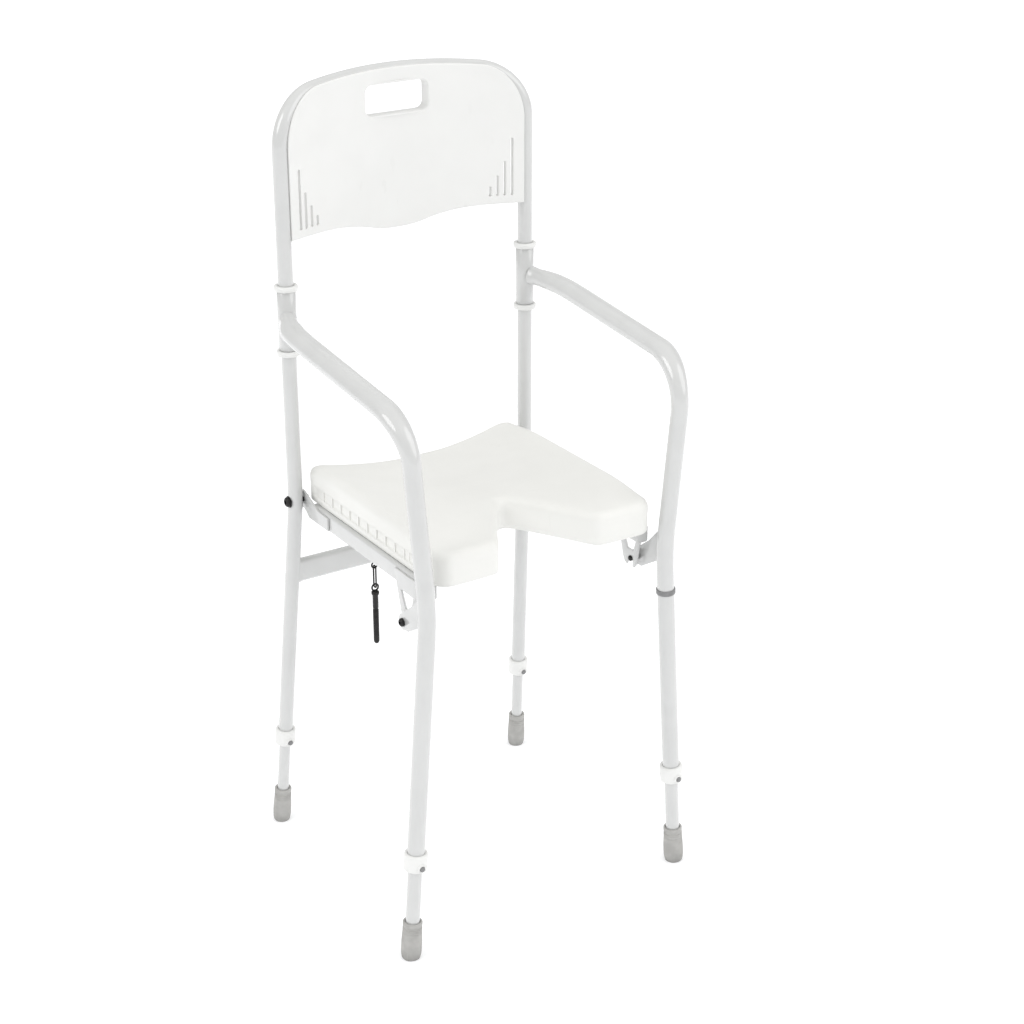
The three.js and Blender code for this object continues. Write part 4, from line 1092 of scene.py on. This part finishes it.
# ---------------------------------------------------------------- seat
@dataclass(frozen=True)
class Seat:
    """The moulded seat with its rails, plates and screws."""

    half_width: float = 178.0
    front: float = -215.0
    rear_middle: float = 153.0
    rear_corner: float = 170.0
    corner_radius: float = 25.0
    top: float = 613.0
    bottom: float = 566.0
    edge: float = 13.0
    wall: float = 4.0
    apex: float = -92.0
    recess_slope: float = 1.89
    recess_radius: float = 18.0
    rib_bottom: float = 590.0
    screws: tuple[float, float] = (-125.0, 95.0)
    screw_x: float = 172.7
    rail: tuple[float, float, float, float] = (166.7, 184.7, 540.0, 565.0)
    rail_ends: tuple[float, float] = (-190.0, 135.0)
    plate: tuple[float, float] = (185.1, 188.1)
    peg: tuple[float, float] = (-150.0, 497.0)

    def build(self, shop: Workshop) -> None:
        """Builds the seat and everything that tips up with it.

        Args:
            shop: The workshop that dresses the pieces.
        """
        body = Body.SEAT.value
        shop.dress(self.moulding(), "seat_plastic", body, "seat_shell")
        for name, side in SIDES.items():
            shop.dress(self.rail_tube(name, side), "white_coat", body, f"seat_rail_{name}")
            shop.dress(self.pivot_plate(name, side), "white_coat", body, f"hinge_plate_{name}")
            shop.dress(self.hanger(name, side), "white_coat", body, f"seat_hanger_{name}")
            for i, y in enumerate(self.screws, 1):
                head = [(2.0, 3.6), (4.4, 3.1), (5.0, 2.4), (5.0, 1.6), (4.0, 0.6), (2.4, 0.1), (2.2, 0.1),
                        (1.8, 1.6), (0.3, 1.9)]
                shell = Shell().lathe(head, (side * self.screw_x, y, 536.6), (0, 0, 1), flats=(6, 7))
                shell.lathe([(1.9, 3.0), (1.9, 43.0), (1.0, 44.4)], (side * self.screw_x, y, 536.6),
                            (0, 0, 1))
                shop.dress(shell.object(f"rail_screw_{name}_{i}"), "zinc", body, f"seat_screw_{name}_{i}")

    def front_at(self, x: Array, inset: float) -> Array:
        """Front edge: a smooth maximum of the straight edge and of the V recess, with round corners."""
        steep = math.sqrt(1 + self.recess_slope**2)
        spread = np.sqrt(x**2 + self.recess_radius**2) - self.recess_radius
        recess = self.apex + inset * steep - self.recess_slope * spread
        straight = self.front + inset
        both = (recess + straight + np.sqrt((recess - straight) ** 2 + 90.0)) / 2
        return both + self.corner_loss(x, inset)

    def rear_at(self, x: Array, inset: float) -> Array:
        """Rear edge, drawn in at the middle, with round corners."""
        share = np.clip(np.abs(x) / 150.0, 0.0, 1.0)
        curve = self.rear_middle + (self.rear_corner - self.rear_middle) * share**2
        return curve - inset - self.corner_loss(x, inset)

    def corner_loss(self, x: Array, inset: float) -> Array:
        """How far a round corner draws the edge in: r - sqrt(r^2 - past^2)."""
        radius = self.corner_radius - inset / 2
        past = np.clip(np.abs(x) - (self.half_width - inset - radius), 0.0, radius)
        return radius - np.sqrt(radius**2 - past**2)

    def height_at(self, x: Array, y: Array) -> Array:
        """Sitting surface: raised along both sides and dipped towards the middle of the back."""
        side = (x / self.half_width) ** 2
        rise = 9.0 * side * (1 - smooth_step(np.abs(y + 20.0), 90.0, 200.0))
        dip = 13.0 * np.clip(1 - side * 1.2, 0.0, None) * smooth_step(y, -70.0, 110.0)
        return self.top + rise - dip

    def plan(self, inset: float) -> tuple[Array, Array, Array]:
        """Grid of the plan with rows and columns close together near the edges.

        Args:
            inset: How far the outline is drawn in.

        Returns:
            x, y and the distance to the outline, each as a columns by rows array.
        """
        steps = np.array([0.0, 0.12, 0.45, 1.0, 1.8, 2.9, 4.3, 6.0, 8.2, 11.0, 14.0])
        half = self.half_width - inset
        scale = (self.edge - inset * 0.5) / self.edge
        near = half - steps * scale
        x = np.concatenate([-near, np.linspace(-near[-1], near[-1], 129)[1:-1], near[::-1]])
        low, high = self.front_at(x, inset), self.rear_at(x, inset)
        slope = np.gradient(low, x)
        slant = 1 / np.sqrt(1 + np.clip(slope, -4.0, 4.0) ** 2)
        first = low[:, None] + steps * scale / np.maximum(slant, 0.4)[:, None]
        last = high[:, None] - steps[::-1] * scale
        share = np.linspace(0.0, 1.0, 64)[1:-1]
        middle = first[:, -1:] + (last[:, :1] - first[:, -1:]) * share
        y = np.concatenate([first, middle, last], 1)
        x2 = np.repeat(x[:, None], y.shape[1], 1)
        distance = np.minimum(np.minimum(half - np.abs(x2), (y - low[:, None]) * slant[:, None]),
                              high[:, None] - y)
        return x2, y, distance

    def sheet(self, inset: float, sink: float, radius: float) -> Array:
        """One face of the seat: the sitting surface lowered by sink and rounded off at its edge."""
        x, y, distance = self.plan(inset)
        inside = np.clip(distance, 0.0, radius)
        drop = radius - np.sqrt(np.clip(radius**2 - (radius - inside) ** 2, 0.0, None))
        return np.stack([x, y, self.height_at(x, y) - sink - drop], -1)

    @staticmethod
    def edge_loop(grid: Array) -> Array:
        """The points round the edge of a grid, in order."""
        return np.concatenate([grid[:-1, 0], grid[-1, :-1], grid[:0:-1, -1], grid[0, :0:-1]])

    def moulding(self) -> bpy.types.Object:
        """The seat moulding.

        Returns:
            One closed skin: the sitting surface, a side with a lip, a groove and a foot band, and the
            hollow underside, with ribs and screw bosses let into it.
        """
        upper = self.sheet(0.0, 0.0, self.edge)
        under = self.sheet(self.wall, self.wall, self.edge - self.wall)
        rim = self.edge_loop(upper)
        levels = [(0.25, 592.0), (0.9, 590.6), (2.6, 590.0), (3.2, 589.0), (3.2, 577.0), (2.8, 575.8),
                  (1.2, 575.2),
                  (0.4, 574.2), (0.4, 567.0), (0.9, 566.0), (self.wall - 0.5, 566.0), (self.wall, 566.5)]
        loops = [rim, rim * (1, 1, 0) + (0, 0, 596.0)]
        x, y, _ = self.plan(0.25)
        plain = self.edge_loop(np.stack([x, y], -1))
        groove = (smooth_step(np.abs(plain[:, 0]), self.half_width - 4.0, self.half_width - 1.0)
                  * (1 - smooth_step(np.abs(plain[:, 1] + 22.0), 158.0, 166.0)))[:, None]
        for inset, z in levels:
            x, y, _ = self.plan(inset)
            ring = self.edge_loop(np.stack([x, y], -1))
            if self.bottom + 1.5 < z < self.rib_bottom + 1.0:
                ring = plain + (ring - plain) * groove
            loops.append(np.column_stack([ring, np.full(len(ring), z)]))
        loops.append(self.edge_loop(under))
        shell = Shell().add(upper, around=False).add(under, around=False).add(np.stack(loops))
        self.ribs(shell)
        return shell.object("seat_moulding", 55.0)

    def ribs(self, shell: Shell) -> None:
        """Adds the ribs under the seat, the posts in its side groove and the screw bosses."""
        def skin(x: Array, y: Array) -> Array:
            """Middle of the skin's thickness above a point."""
            return self.height_at(x, y) - self.wall + 1.5
        for x in (-105.0, 0.0, 105.0):
            low, high = float(self.front_at(np.array(x), self.wall)), float(self.rear_at(np.array(x),
                                                                                         self.wall))
            y = np.linspace(low + 9.0, high - 9.0, 30)
            corners = [(-1.3, self.rib_bottom), (1.3, self.rib_bottom), (1.3, None), (-1.3, None)]
            rows = [np.column_stack([np.full_like(y, x + dx), y,
                                     skin(np.full_like(y, x), y) if z is None else np.full_like(y, z)])
                    for dx, z in corners]
            shell.capped(np.stack(rows, 1))
        for y in (-25.0, 70.0):
            x = np.linspace(-168.0, 168.0, 40)
            corners = [(-1.3, self.rib_bottom), (1.3, self.rib_bottom), (1.3, None), (-1.3, None)]
            rows = [np.column_stack([x, np.full_like(x, y + dy),
                                     skin(x, np.full_like(x, y)) if z is None else np.full_like(x, z)])
                    for dy, z in corners]
            shell.capped(np.stack(rows, 1))
        for side in SIDES.values():
            for y in self.screws:
                x0, x1 = sorted((side * 166.0, side * 175.5))
                shell.block((x0, y - 8, self.bottom + 0.2), (x1, y + 8, 601.0))
            for y in np.arange(-172.0, 140.0, 26.0):
                x0, x1 = sorted((side * 173.5, side * 176.9))
                shell.block((x0, y - 1.4, 574.8), (x1, y + 1.4, 590.6))

    def rail_tube(self, name: str, side: float) -> bpy.types.Object:
        """Rectangular tube with round corners under one side of the seat, with a plug in each end."""
        x0, x1, z0, z1 = self.rail
        low, high = self.rail_ends
        if side < 0:
            x0, x1 = -x1, -x0
        def section(inset: float, radius: float, ys: Sequence[float]) -> Array:
            """The outline drawn in by an inset, at several places along the rail."""
            flat = rounded_box(x0 + inset, x1 - inset, z0 + inset, z1 - inset, radius, 6)
            return np.stack([np.column_stack([flat[:, 0], np.full(len(flat), y), flat[:, 1]]) for y in ys])
        shell = Shell().pipe(section(0.0, 3.2, (low, low / 2, 0.0, high)),
                             section(1.5, 1.7, (low, low / 2, 0.0, high)))
        for end, way in ((low, 1), (high, -1)):
            shell.capped(section(1.55, 1.6, (end + way * 0.2, end + way * 9.0)))
        return shell.object(f"rail_{name}", 50.0)

    def pivot_plate(self, name: str, side: float) -> bpy.types.Object:
        """Plate at the rear of the rail, round the bolt that the seat tips on."""
        y, z = LINES.pivot
        outline = np.vstack([[(82, 543), (140, 543)], arc(y, z, 14.0, -1.9, 1.75), [(112, 563), (82, 562)]])
        window = arc(y, z, 4.5, 0.0, 2 * math.pi * 23 / 24)
        return plate(f"pivot_plate_{name}", [outline, window], side, *self.plate)

    def hanger(self, name: str, side: float) -> bpy.types.Object:
        """Hanger at the front of the rail: a window above and a mouth that drops over the peg."""
        y, z = self.peg
        mouth = arc(y, z, 4.7, math.pi, 0.0)
        outline = np.vstack([[(-178, 562), (-163, 493), (-161, 488), (-158, 485), (y - 4.7, 485)], mouth,
                             [(y + 9.5, 485), (-136, 487), (-131, 495), (-112, 562)]])
        window = np.array([(-163, 536), (-156, 511), (-141, 511), (-129, 536)], float)
        return plate(f"hanger_{name}", [outline, window], side, *self.plate)


# ---------------------------------------------------------------- bolts, brackets and the locking pin
@dataclass(frozen=True)
class Fasteners:
    """Brackets, bolts and nuts on the frame, and the pin that locks the seat."""

    bracket: tuple[float, float] = (194.6, 197.6)
    peg: tuple[float, float] = (-150.0, 497.0)
    pin: tuple[float, float] = (-176.0, -34.0)
    eye_height: float = 532.0
    eye_radius: float = 4.4
    wire: float = 1.2
    pin_radius: float = 4.2
    link_radius: float = 3.4
    link_length: float = 27.0
    pin_length: float = 84.0

    def build(self, shop: Workshop) -> None:
        """Builds the brackets, the bolts and the locking pin.

        Args:
            shop: The workshop that dresses the pieces.
        """
        for name, side in SIDES.items():
            shop.dress(self.front_bracket(name, side), "white_coat", Body.FRAME.value,
                       f"front_bracket_{name}")
            shop.dress(self.peg_bolt(name, side), "black_steel", Body.FRAME.value, f"front_bolt_{name}")
            shop.dress(self.hinge_bolt(name, side), "black_steel", Body.FRAME.value, f"hinge_bolt_{name}")
            shop.dress(self.hinge_nut(name, side), "zinc", Body.FRAME.value, f"hinge_nut_{name}")
        shop.dress(self.eye(), "black_steel", Body.SEAT.value, "pin_eye")
        shop.dress(self.link(), "black_steel", Body.LINK.value, "pin_link")
        shop.dress(self.locking_pin(), "black_steel", Body.PIN.value, "locking_pin")

    def front_bracket(self, name: str, side: float) -> bpy.types.Object:
        """Plate welded to the front leg that carries the peg bolt."""
        y, z = self.peg
        outline = np.vstack([[(-203.1, 512), (-163, 487)], arc(y, z, 12.0, -2.2, 1.2),
                             [(-180, 535), (-203.1, 560)]])
        window = arc(y, z, 4.5, 0.0, 2 * math.pi * 23 / 24)
        return plate(f"leg_bracket_{name}", [outline, window], side, *self.bracket)

    def bolt(self, radius: float, height: float) -> list[tuple[float, float]]:
        """Profile of a button head with a hexagon socket, from its seat to the socket's floor."""
        return [(radius * 0.97, 0.0), (radius, 0.3), (radius, height * 0.42), (radius * 0.93, height * 0.66),
                (radius * 0.76, height * 0.88), (radius * 0.55, height), (radius * 0.47, height),
                (radius * 0.46, height * 0.94),
                (radius * 0.46, height * 0.35), (radius * 0.1, height * 0.3)]

    def peg_bolt(self, name: str, side: float) -> bpy.types.Object:
        """Bolt whose shank is the peg that the seat's hanger rests on."""
        y, z = self.peg
        shell = Shell().lathe(self.bolt(6.0, 4.8), (side * (self.bracket[1] + GAP), y, z), (side, 0, 0),
                              flats=(7, 8))
        shank = [(2.6, 0.0), (3.4, 0.5), (4.0, 1.2), (4.0, 15.6)]
        shell.lathe(shank, (side * 182.5, y, z), (side, 0, 0))
        return shell.object(f"peg_bolt_{name}")

    def hinge_bolt(self, name: str, side: float) -> bpy.types.Object:
        """Bolt through the rear post on which the seat tips."""
        y, z = LINES.pivot
        start = LINES.post[0] + LINES.rear_radius + 0.4
        shell = Shell().lathe(self.bolt(7.5, 5.4), (side * start, y, z), (side, 0, 0), flats=(7, 8))
        washer = [(4.2, -1.1), (8.6, -1.1), (9.0, -0.8), (9.0, -0.3), (8.6, 0.0), (4.2, 0.0)]
        shell.lathe(washer, (side * start, y, z), (side, 0, 0), loop=True)
        shell.lathe([(2.8, 0.0), (3.5, 0.5), (4.0, 1.2), (4.0, 32.8)], (side * 178.8, y, z), (side, 0, 0))
        return shell.object(f"tip_bolt_{name}")

    def hinge_nut(self, name: str, side: float) -> bpy.types.Object:
        """Hexagon nut with chamfered corners and a rounded bore."""
        y, z = LINES.pivot
        profile = [(4.3, 0.3), (4.8, 0.0), (6.1, 0.0), (6.4, 0.45), (6.4, 4.25), (6.1, 4.7), (4.8, 4.7),
                   (4.3, 4.4)]
        shell = Shell().lathe(profile, (side * 180.0, y, z), (side, 0, 0), loop=True, flats=(3, 4))
        return shell.object(f"tip_nut_{name}")

    def wire_ring(self, centre: Sequence[float], radius: float, wire: float) -> Array:
        """A ring of wire in the X-Z plane: a circle carried round a circle."""
        u = np.linspace(0.0, 2 * math.pi, 36, endpoint=False)[:, None]
        v = np.linspace(0.0, 2 * math.pi, 16, endpoint=False)[None, :]
        reach = radius + wire * np.cos(v)
        return np.stack([reach * np.cos(u), wire * np.sin(v) + 0 * u, reach * np.sin(u)],
                        -1) + np.asarray(centre, float)

    def eye(self) -> bpy.types.Object:
        """Eye under the seat rail that the link hangs from."""
        x, y = self.pin
        shell = Shell().add(self.wire_ring((x, y, self.eye_height), self.eye_radius, self.wire), along=True)
        foot = [(1.4, self.eye_height + 3.9), (2.4, self.eye_height + 4.2), (3.4, self.eye_height + 5.6),
                (3.4, 539.7)]
        shell.lathe(foot, (x, y, 0), (0, 0, 1))
        return shell.object("pin_hook")

    def link(self) -> bpy.types.Object:
        """Long wire link in the Y-Z plane: two straight sides and two half circles."""
        x, y = self.pin
        upper = self.eye_height - self.eye_radius
        angle = np.linspace(0.0, 2 * math.pi, 64, endpoint=False) + math.pi / 64
        lift = np.where(np.sin(angle) > 0, 0.0, -self.link_length)
        line = np.column_stack([np.full(64, x), y + self.link_radius * np.cos(angle),
                                upper + lift + self.link_radius * np.sin(angle)])
        ahead = unit(np.roll(line, -1, 0) - np.roll(line, 1, 0))
        out = np.cross(ahead, (1.0, 0.0, 0.0))
        turn = np.linspace(0.0, 2 * math.pi, 14, endpoint=False)[None, :, None]
        side = np.array([1.0, 0.0, 0.0])
        rings = line[:, None] + self.wire * (side * np.cos(turn) + out[:, None] * np.sin(turn))
        return Shell().add(rings, along=True).object("pin_chain_link")

    def locking_pin(self) -> bpy.types.Object:
        """Pin with a ring head, a collar and a rounded point."""
        x, y = self.pin
        z = self.eye_height - self.eye_radius - self.link_length - self.link_radius
        top = z - 4.6
        end = top - self.pin_length
        shell = Shell().add(self.wire_ring((x, y, z), 5.0, 1.3), along=True)
        r = self.pin_radius
        body = [(0.8, end), (2.4, end + 0.6), (r - 0.6, end + 2.2), (r, end + 4.6), (r, top - 30),
                (r - 0.5, top - 29.4),
                (r - 0.5, top - 27.6), (r, top - 27), (r, top - 7.4), (5.2, top - 6.4), (5.6, top - 5.8),
                (5.6, top - 2.4),
                (5.2, top - 1.8), (3.0, top)]
        shell.lathe(body, (x, y, 0), (0, 0, 1))
        return shell.object("lock_pin", 50.0)


# ---------------------------------------------------------------- lower legs
@dataclass(frozen=True)
class LowerLeg:
    """One sliding lower leg with its rubber foot, and the collar and button on the tube above it."""

    place: str
    inner: float
    bore: float
    ferrule: float
    collar: float
    tube: float
    bottom: float = 8.3
    top: float = 300.0
    wall: float = 1.4
    collar_span: tuple[float, float] = (146.0, 172.0)
    button_height: float = 154.0
    button_radius: float = 3.8
    holes: tuple[float, ...] = (154.0, 179.0, 204.0, 229.0, 254.0)

    def build(self, shop: Workshop) -> None:
        """Builds both legs of this place.

        Args:
            shop: The workshop that dresses the pieces.
        """
        for name, side in SIDES.items():
            foot, kink = LINES.foot(self.place, side), LINES.kink(self.place, side)
            key, axis = f"{self.place}_leg_{name}", kink - foot
            shop.dress(self.rubber(key, foot, axis), "grey_rubber", key, f"{self.place}_ferrule_{name}")
            shop.dress(self.inner_tube(key, foot, axis), "white_coat", key, f"{self.place}_inner_leg_{name}")
            shop.dress(self.clamp(key, foot, axis), "white_plastic", Body.FRAME.value,
                       f"{self.place}_leg_collar_{name}")
            button = self.button(key, foot, axis)
            shop.dress(button, "dark_plastic", f"{self.place}_button_{name}",
                       f"{self.place}_leg_button_{name}")

    def ahead(self, foot: Array, axis: Array, height: float, reach: float) -> tuple[Array, Array]:
        """A point at a height on the leg and a reach towards the front, and the front direction."""
        turn = upright_turn(axis)
        return foot + turn @ np.array([0.0, -reach, height]), turn @ np.array([0.0, -1.0, 0.0])

    def rubber(self, key: str, foot: Array, axis: Array) -> bpy.types.Object:
        """Rubber foot: a worn flat sole, a soft belly and a ribbed cuff, cut level at the floor."""
        r, b = self.ferrule, self.bore
        profile = [(0.3, -4.0), (r - 5, -4.0), (r - 3.2, -3.2), (r - 1.6, 1.0), (r - 0.6, 6.0),
                   (r - 0.1, 11.0), (r, 16.0), (r, 25.0),
                   (r - 0.3, 33.0), (r - 0.8, 41.0), (r - 0.8, 42.0), (r - 1.5, 42.6), (r - 1.5, 43.8),
                   (r - 0.9, 44.4), (r - 0.9, 46.4),
                   (r - 1.6, 47.0), (r - 1.6, 48.2), (r - 0.9, 48.8), (r - 0.9, 49.4), (r - 2.2, 50.4),
                   (r - 2.2, 52.8), (r - 1.0, 53.8),
                   (r - 0.9, 58.6), (r - 1.6, 59.7), (r - 2.4, 60.0), (b + 0.2, 60.0), (b, 59.6),
                   (b, self.bottom - GAP), (0.3, self.bottom - GAP)]
        grid = placed(turned(profile), foot, axis)
        grid[..., 2] = np.maximum(grid[..., 2], 0.0)
        return Shell().capped(grid).object(f"{key}_rubber_foot", 50.0)

    def inner_tube(self, key: str, foot: Array, axis: Array) -> bpy.types.Object:
        """Inner tube with the row of holes that the button snaps into."""
        r, i = self.inner, self.inner - self.wall
        profile = [(i, self.bottom), (r - 0.3, self.bottom), (r, self.bottom + 0.3), (r, self.top - 0.3),
                   (r - 0.3, self.top), (i, self.top)]
        made = Shell().lathe(profile, foot, axis, loop=True).object(f"{key}_inner_tube")
        tool = Shell()
        for height in self.holes:
            start, way = self.ahead(foot, axis, height, r - 5.0)
            tool.lathe([(3.4, 0.0), (3.4, 8.0)], start, way, count=20)
        return shaped(made, tool)

    def clamp(self, key: str, foot: Array, axis: Array) -> bpy.types.Object:
        """Plastic collar at the end of the upper tube, with a boss round the button."""
        low, high = self.collar_span
        lower, upper, r, shelf = self.inner + 0.35, self.tube + 0.3, self.collar, LINES.tube_end - GAP
        profile = [(lower, low + 0.4), (lower + 0.4, low), (r - 1.2, low), (r - 0.3, low + 0.6),
                   (r, low + 1.6), (r, high - 2.4),
                   (r - 0.5, high - 0.9), (r - 1.7, high), (upper + 0.2, high), (upper, high - 0.3),
                   (upper, shelf), (lower, shelf)]
        made = Shell().lathe(profile, foot, axis, loop=True).object(f"{key}_clamp")
        start, way = self.ahead(foot, axis, self.button_height, self.inner + 3.2)
        length = self.collar + 2.0 - self.inner - 3.2
        boss = [(6.4, 0.0), (6.4, length - 0.8), (6.1, length - 0.25), (5.5, length)]
        shaped(made, Shell().lathe(boss, start, way, count=28), "UNION")
        start, way = self.ahead(foot, axis, self.button_height, self.inner - 2.0)
        hole = [(self.button_radius + 0.5, 0.0), (self.button_radius + 0.5, 14.0)]
        return shaped(made, Shell().lathe(hole, start, way, count=28))

    def button(self, key: str, foot: Array, axis: Array) -> bpy.types.Object:
        """Sprung button with a domed face."""
        start, way = self.ahead(foot, axis, self.button_height, self.collar - 1.6)
        r, length = self.button_radius, 6.1
        profile = [(r - 0.3, 0.0), (r, 0.3), (r, length - 1.7), (r - 0.35, length - 0.8),
                   (r - 1.2, length - 0.25), (r * 0.3, length)]
        return Shell().lathe(profile, start, way, count=28).object(f"{key}_push_button")


def main() -> None:
    logging.basicConfig(level=logging.INFO, format="%(name)s: %(message)s")
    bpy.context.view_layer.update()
    studio = Studio()
    studio.camera()
    studio.lights()
    studio.floor()
    shop = Workshop()
    TubeFrame().build(shop)
    BackPanel().build(shop)
    Seat().build(shop)
    Fasteners().build(shop)
    LowerLeg("front", 10.3, 11.0, 15.0, 17.0, LINES.front_radius).build(shop)
    LowerLeg("rear", 8.85, 9.5, 14.0, 15.5, LINES.rear_radius).build(shop)


if __name__ == "__main__":
    main()
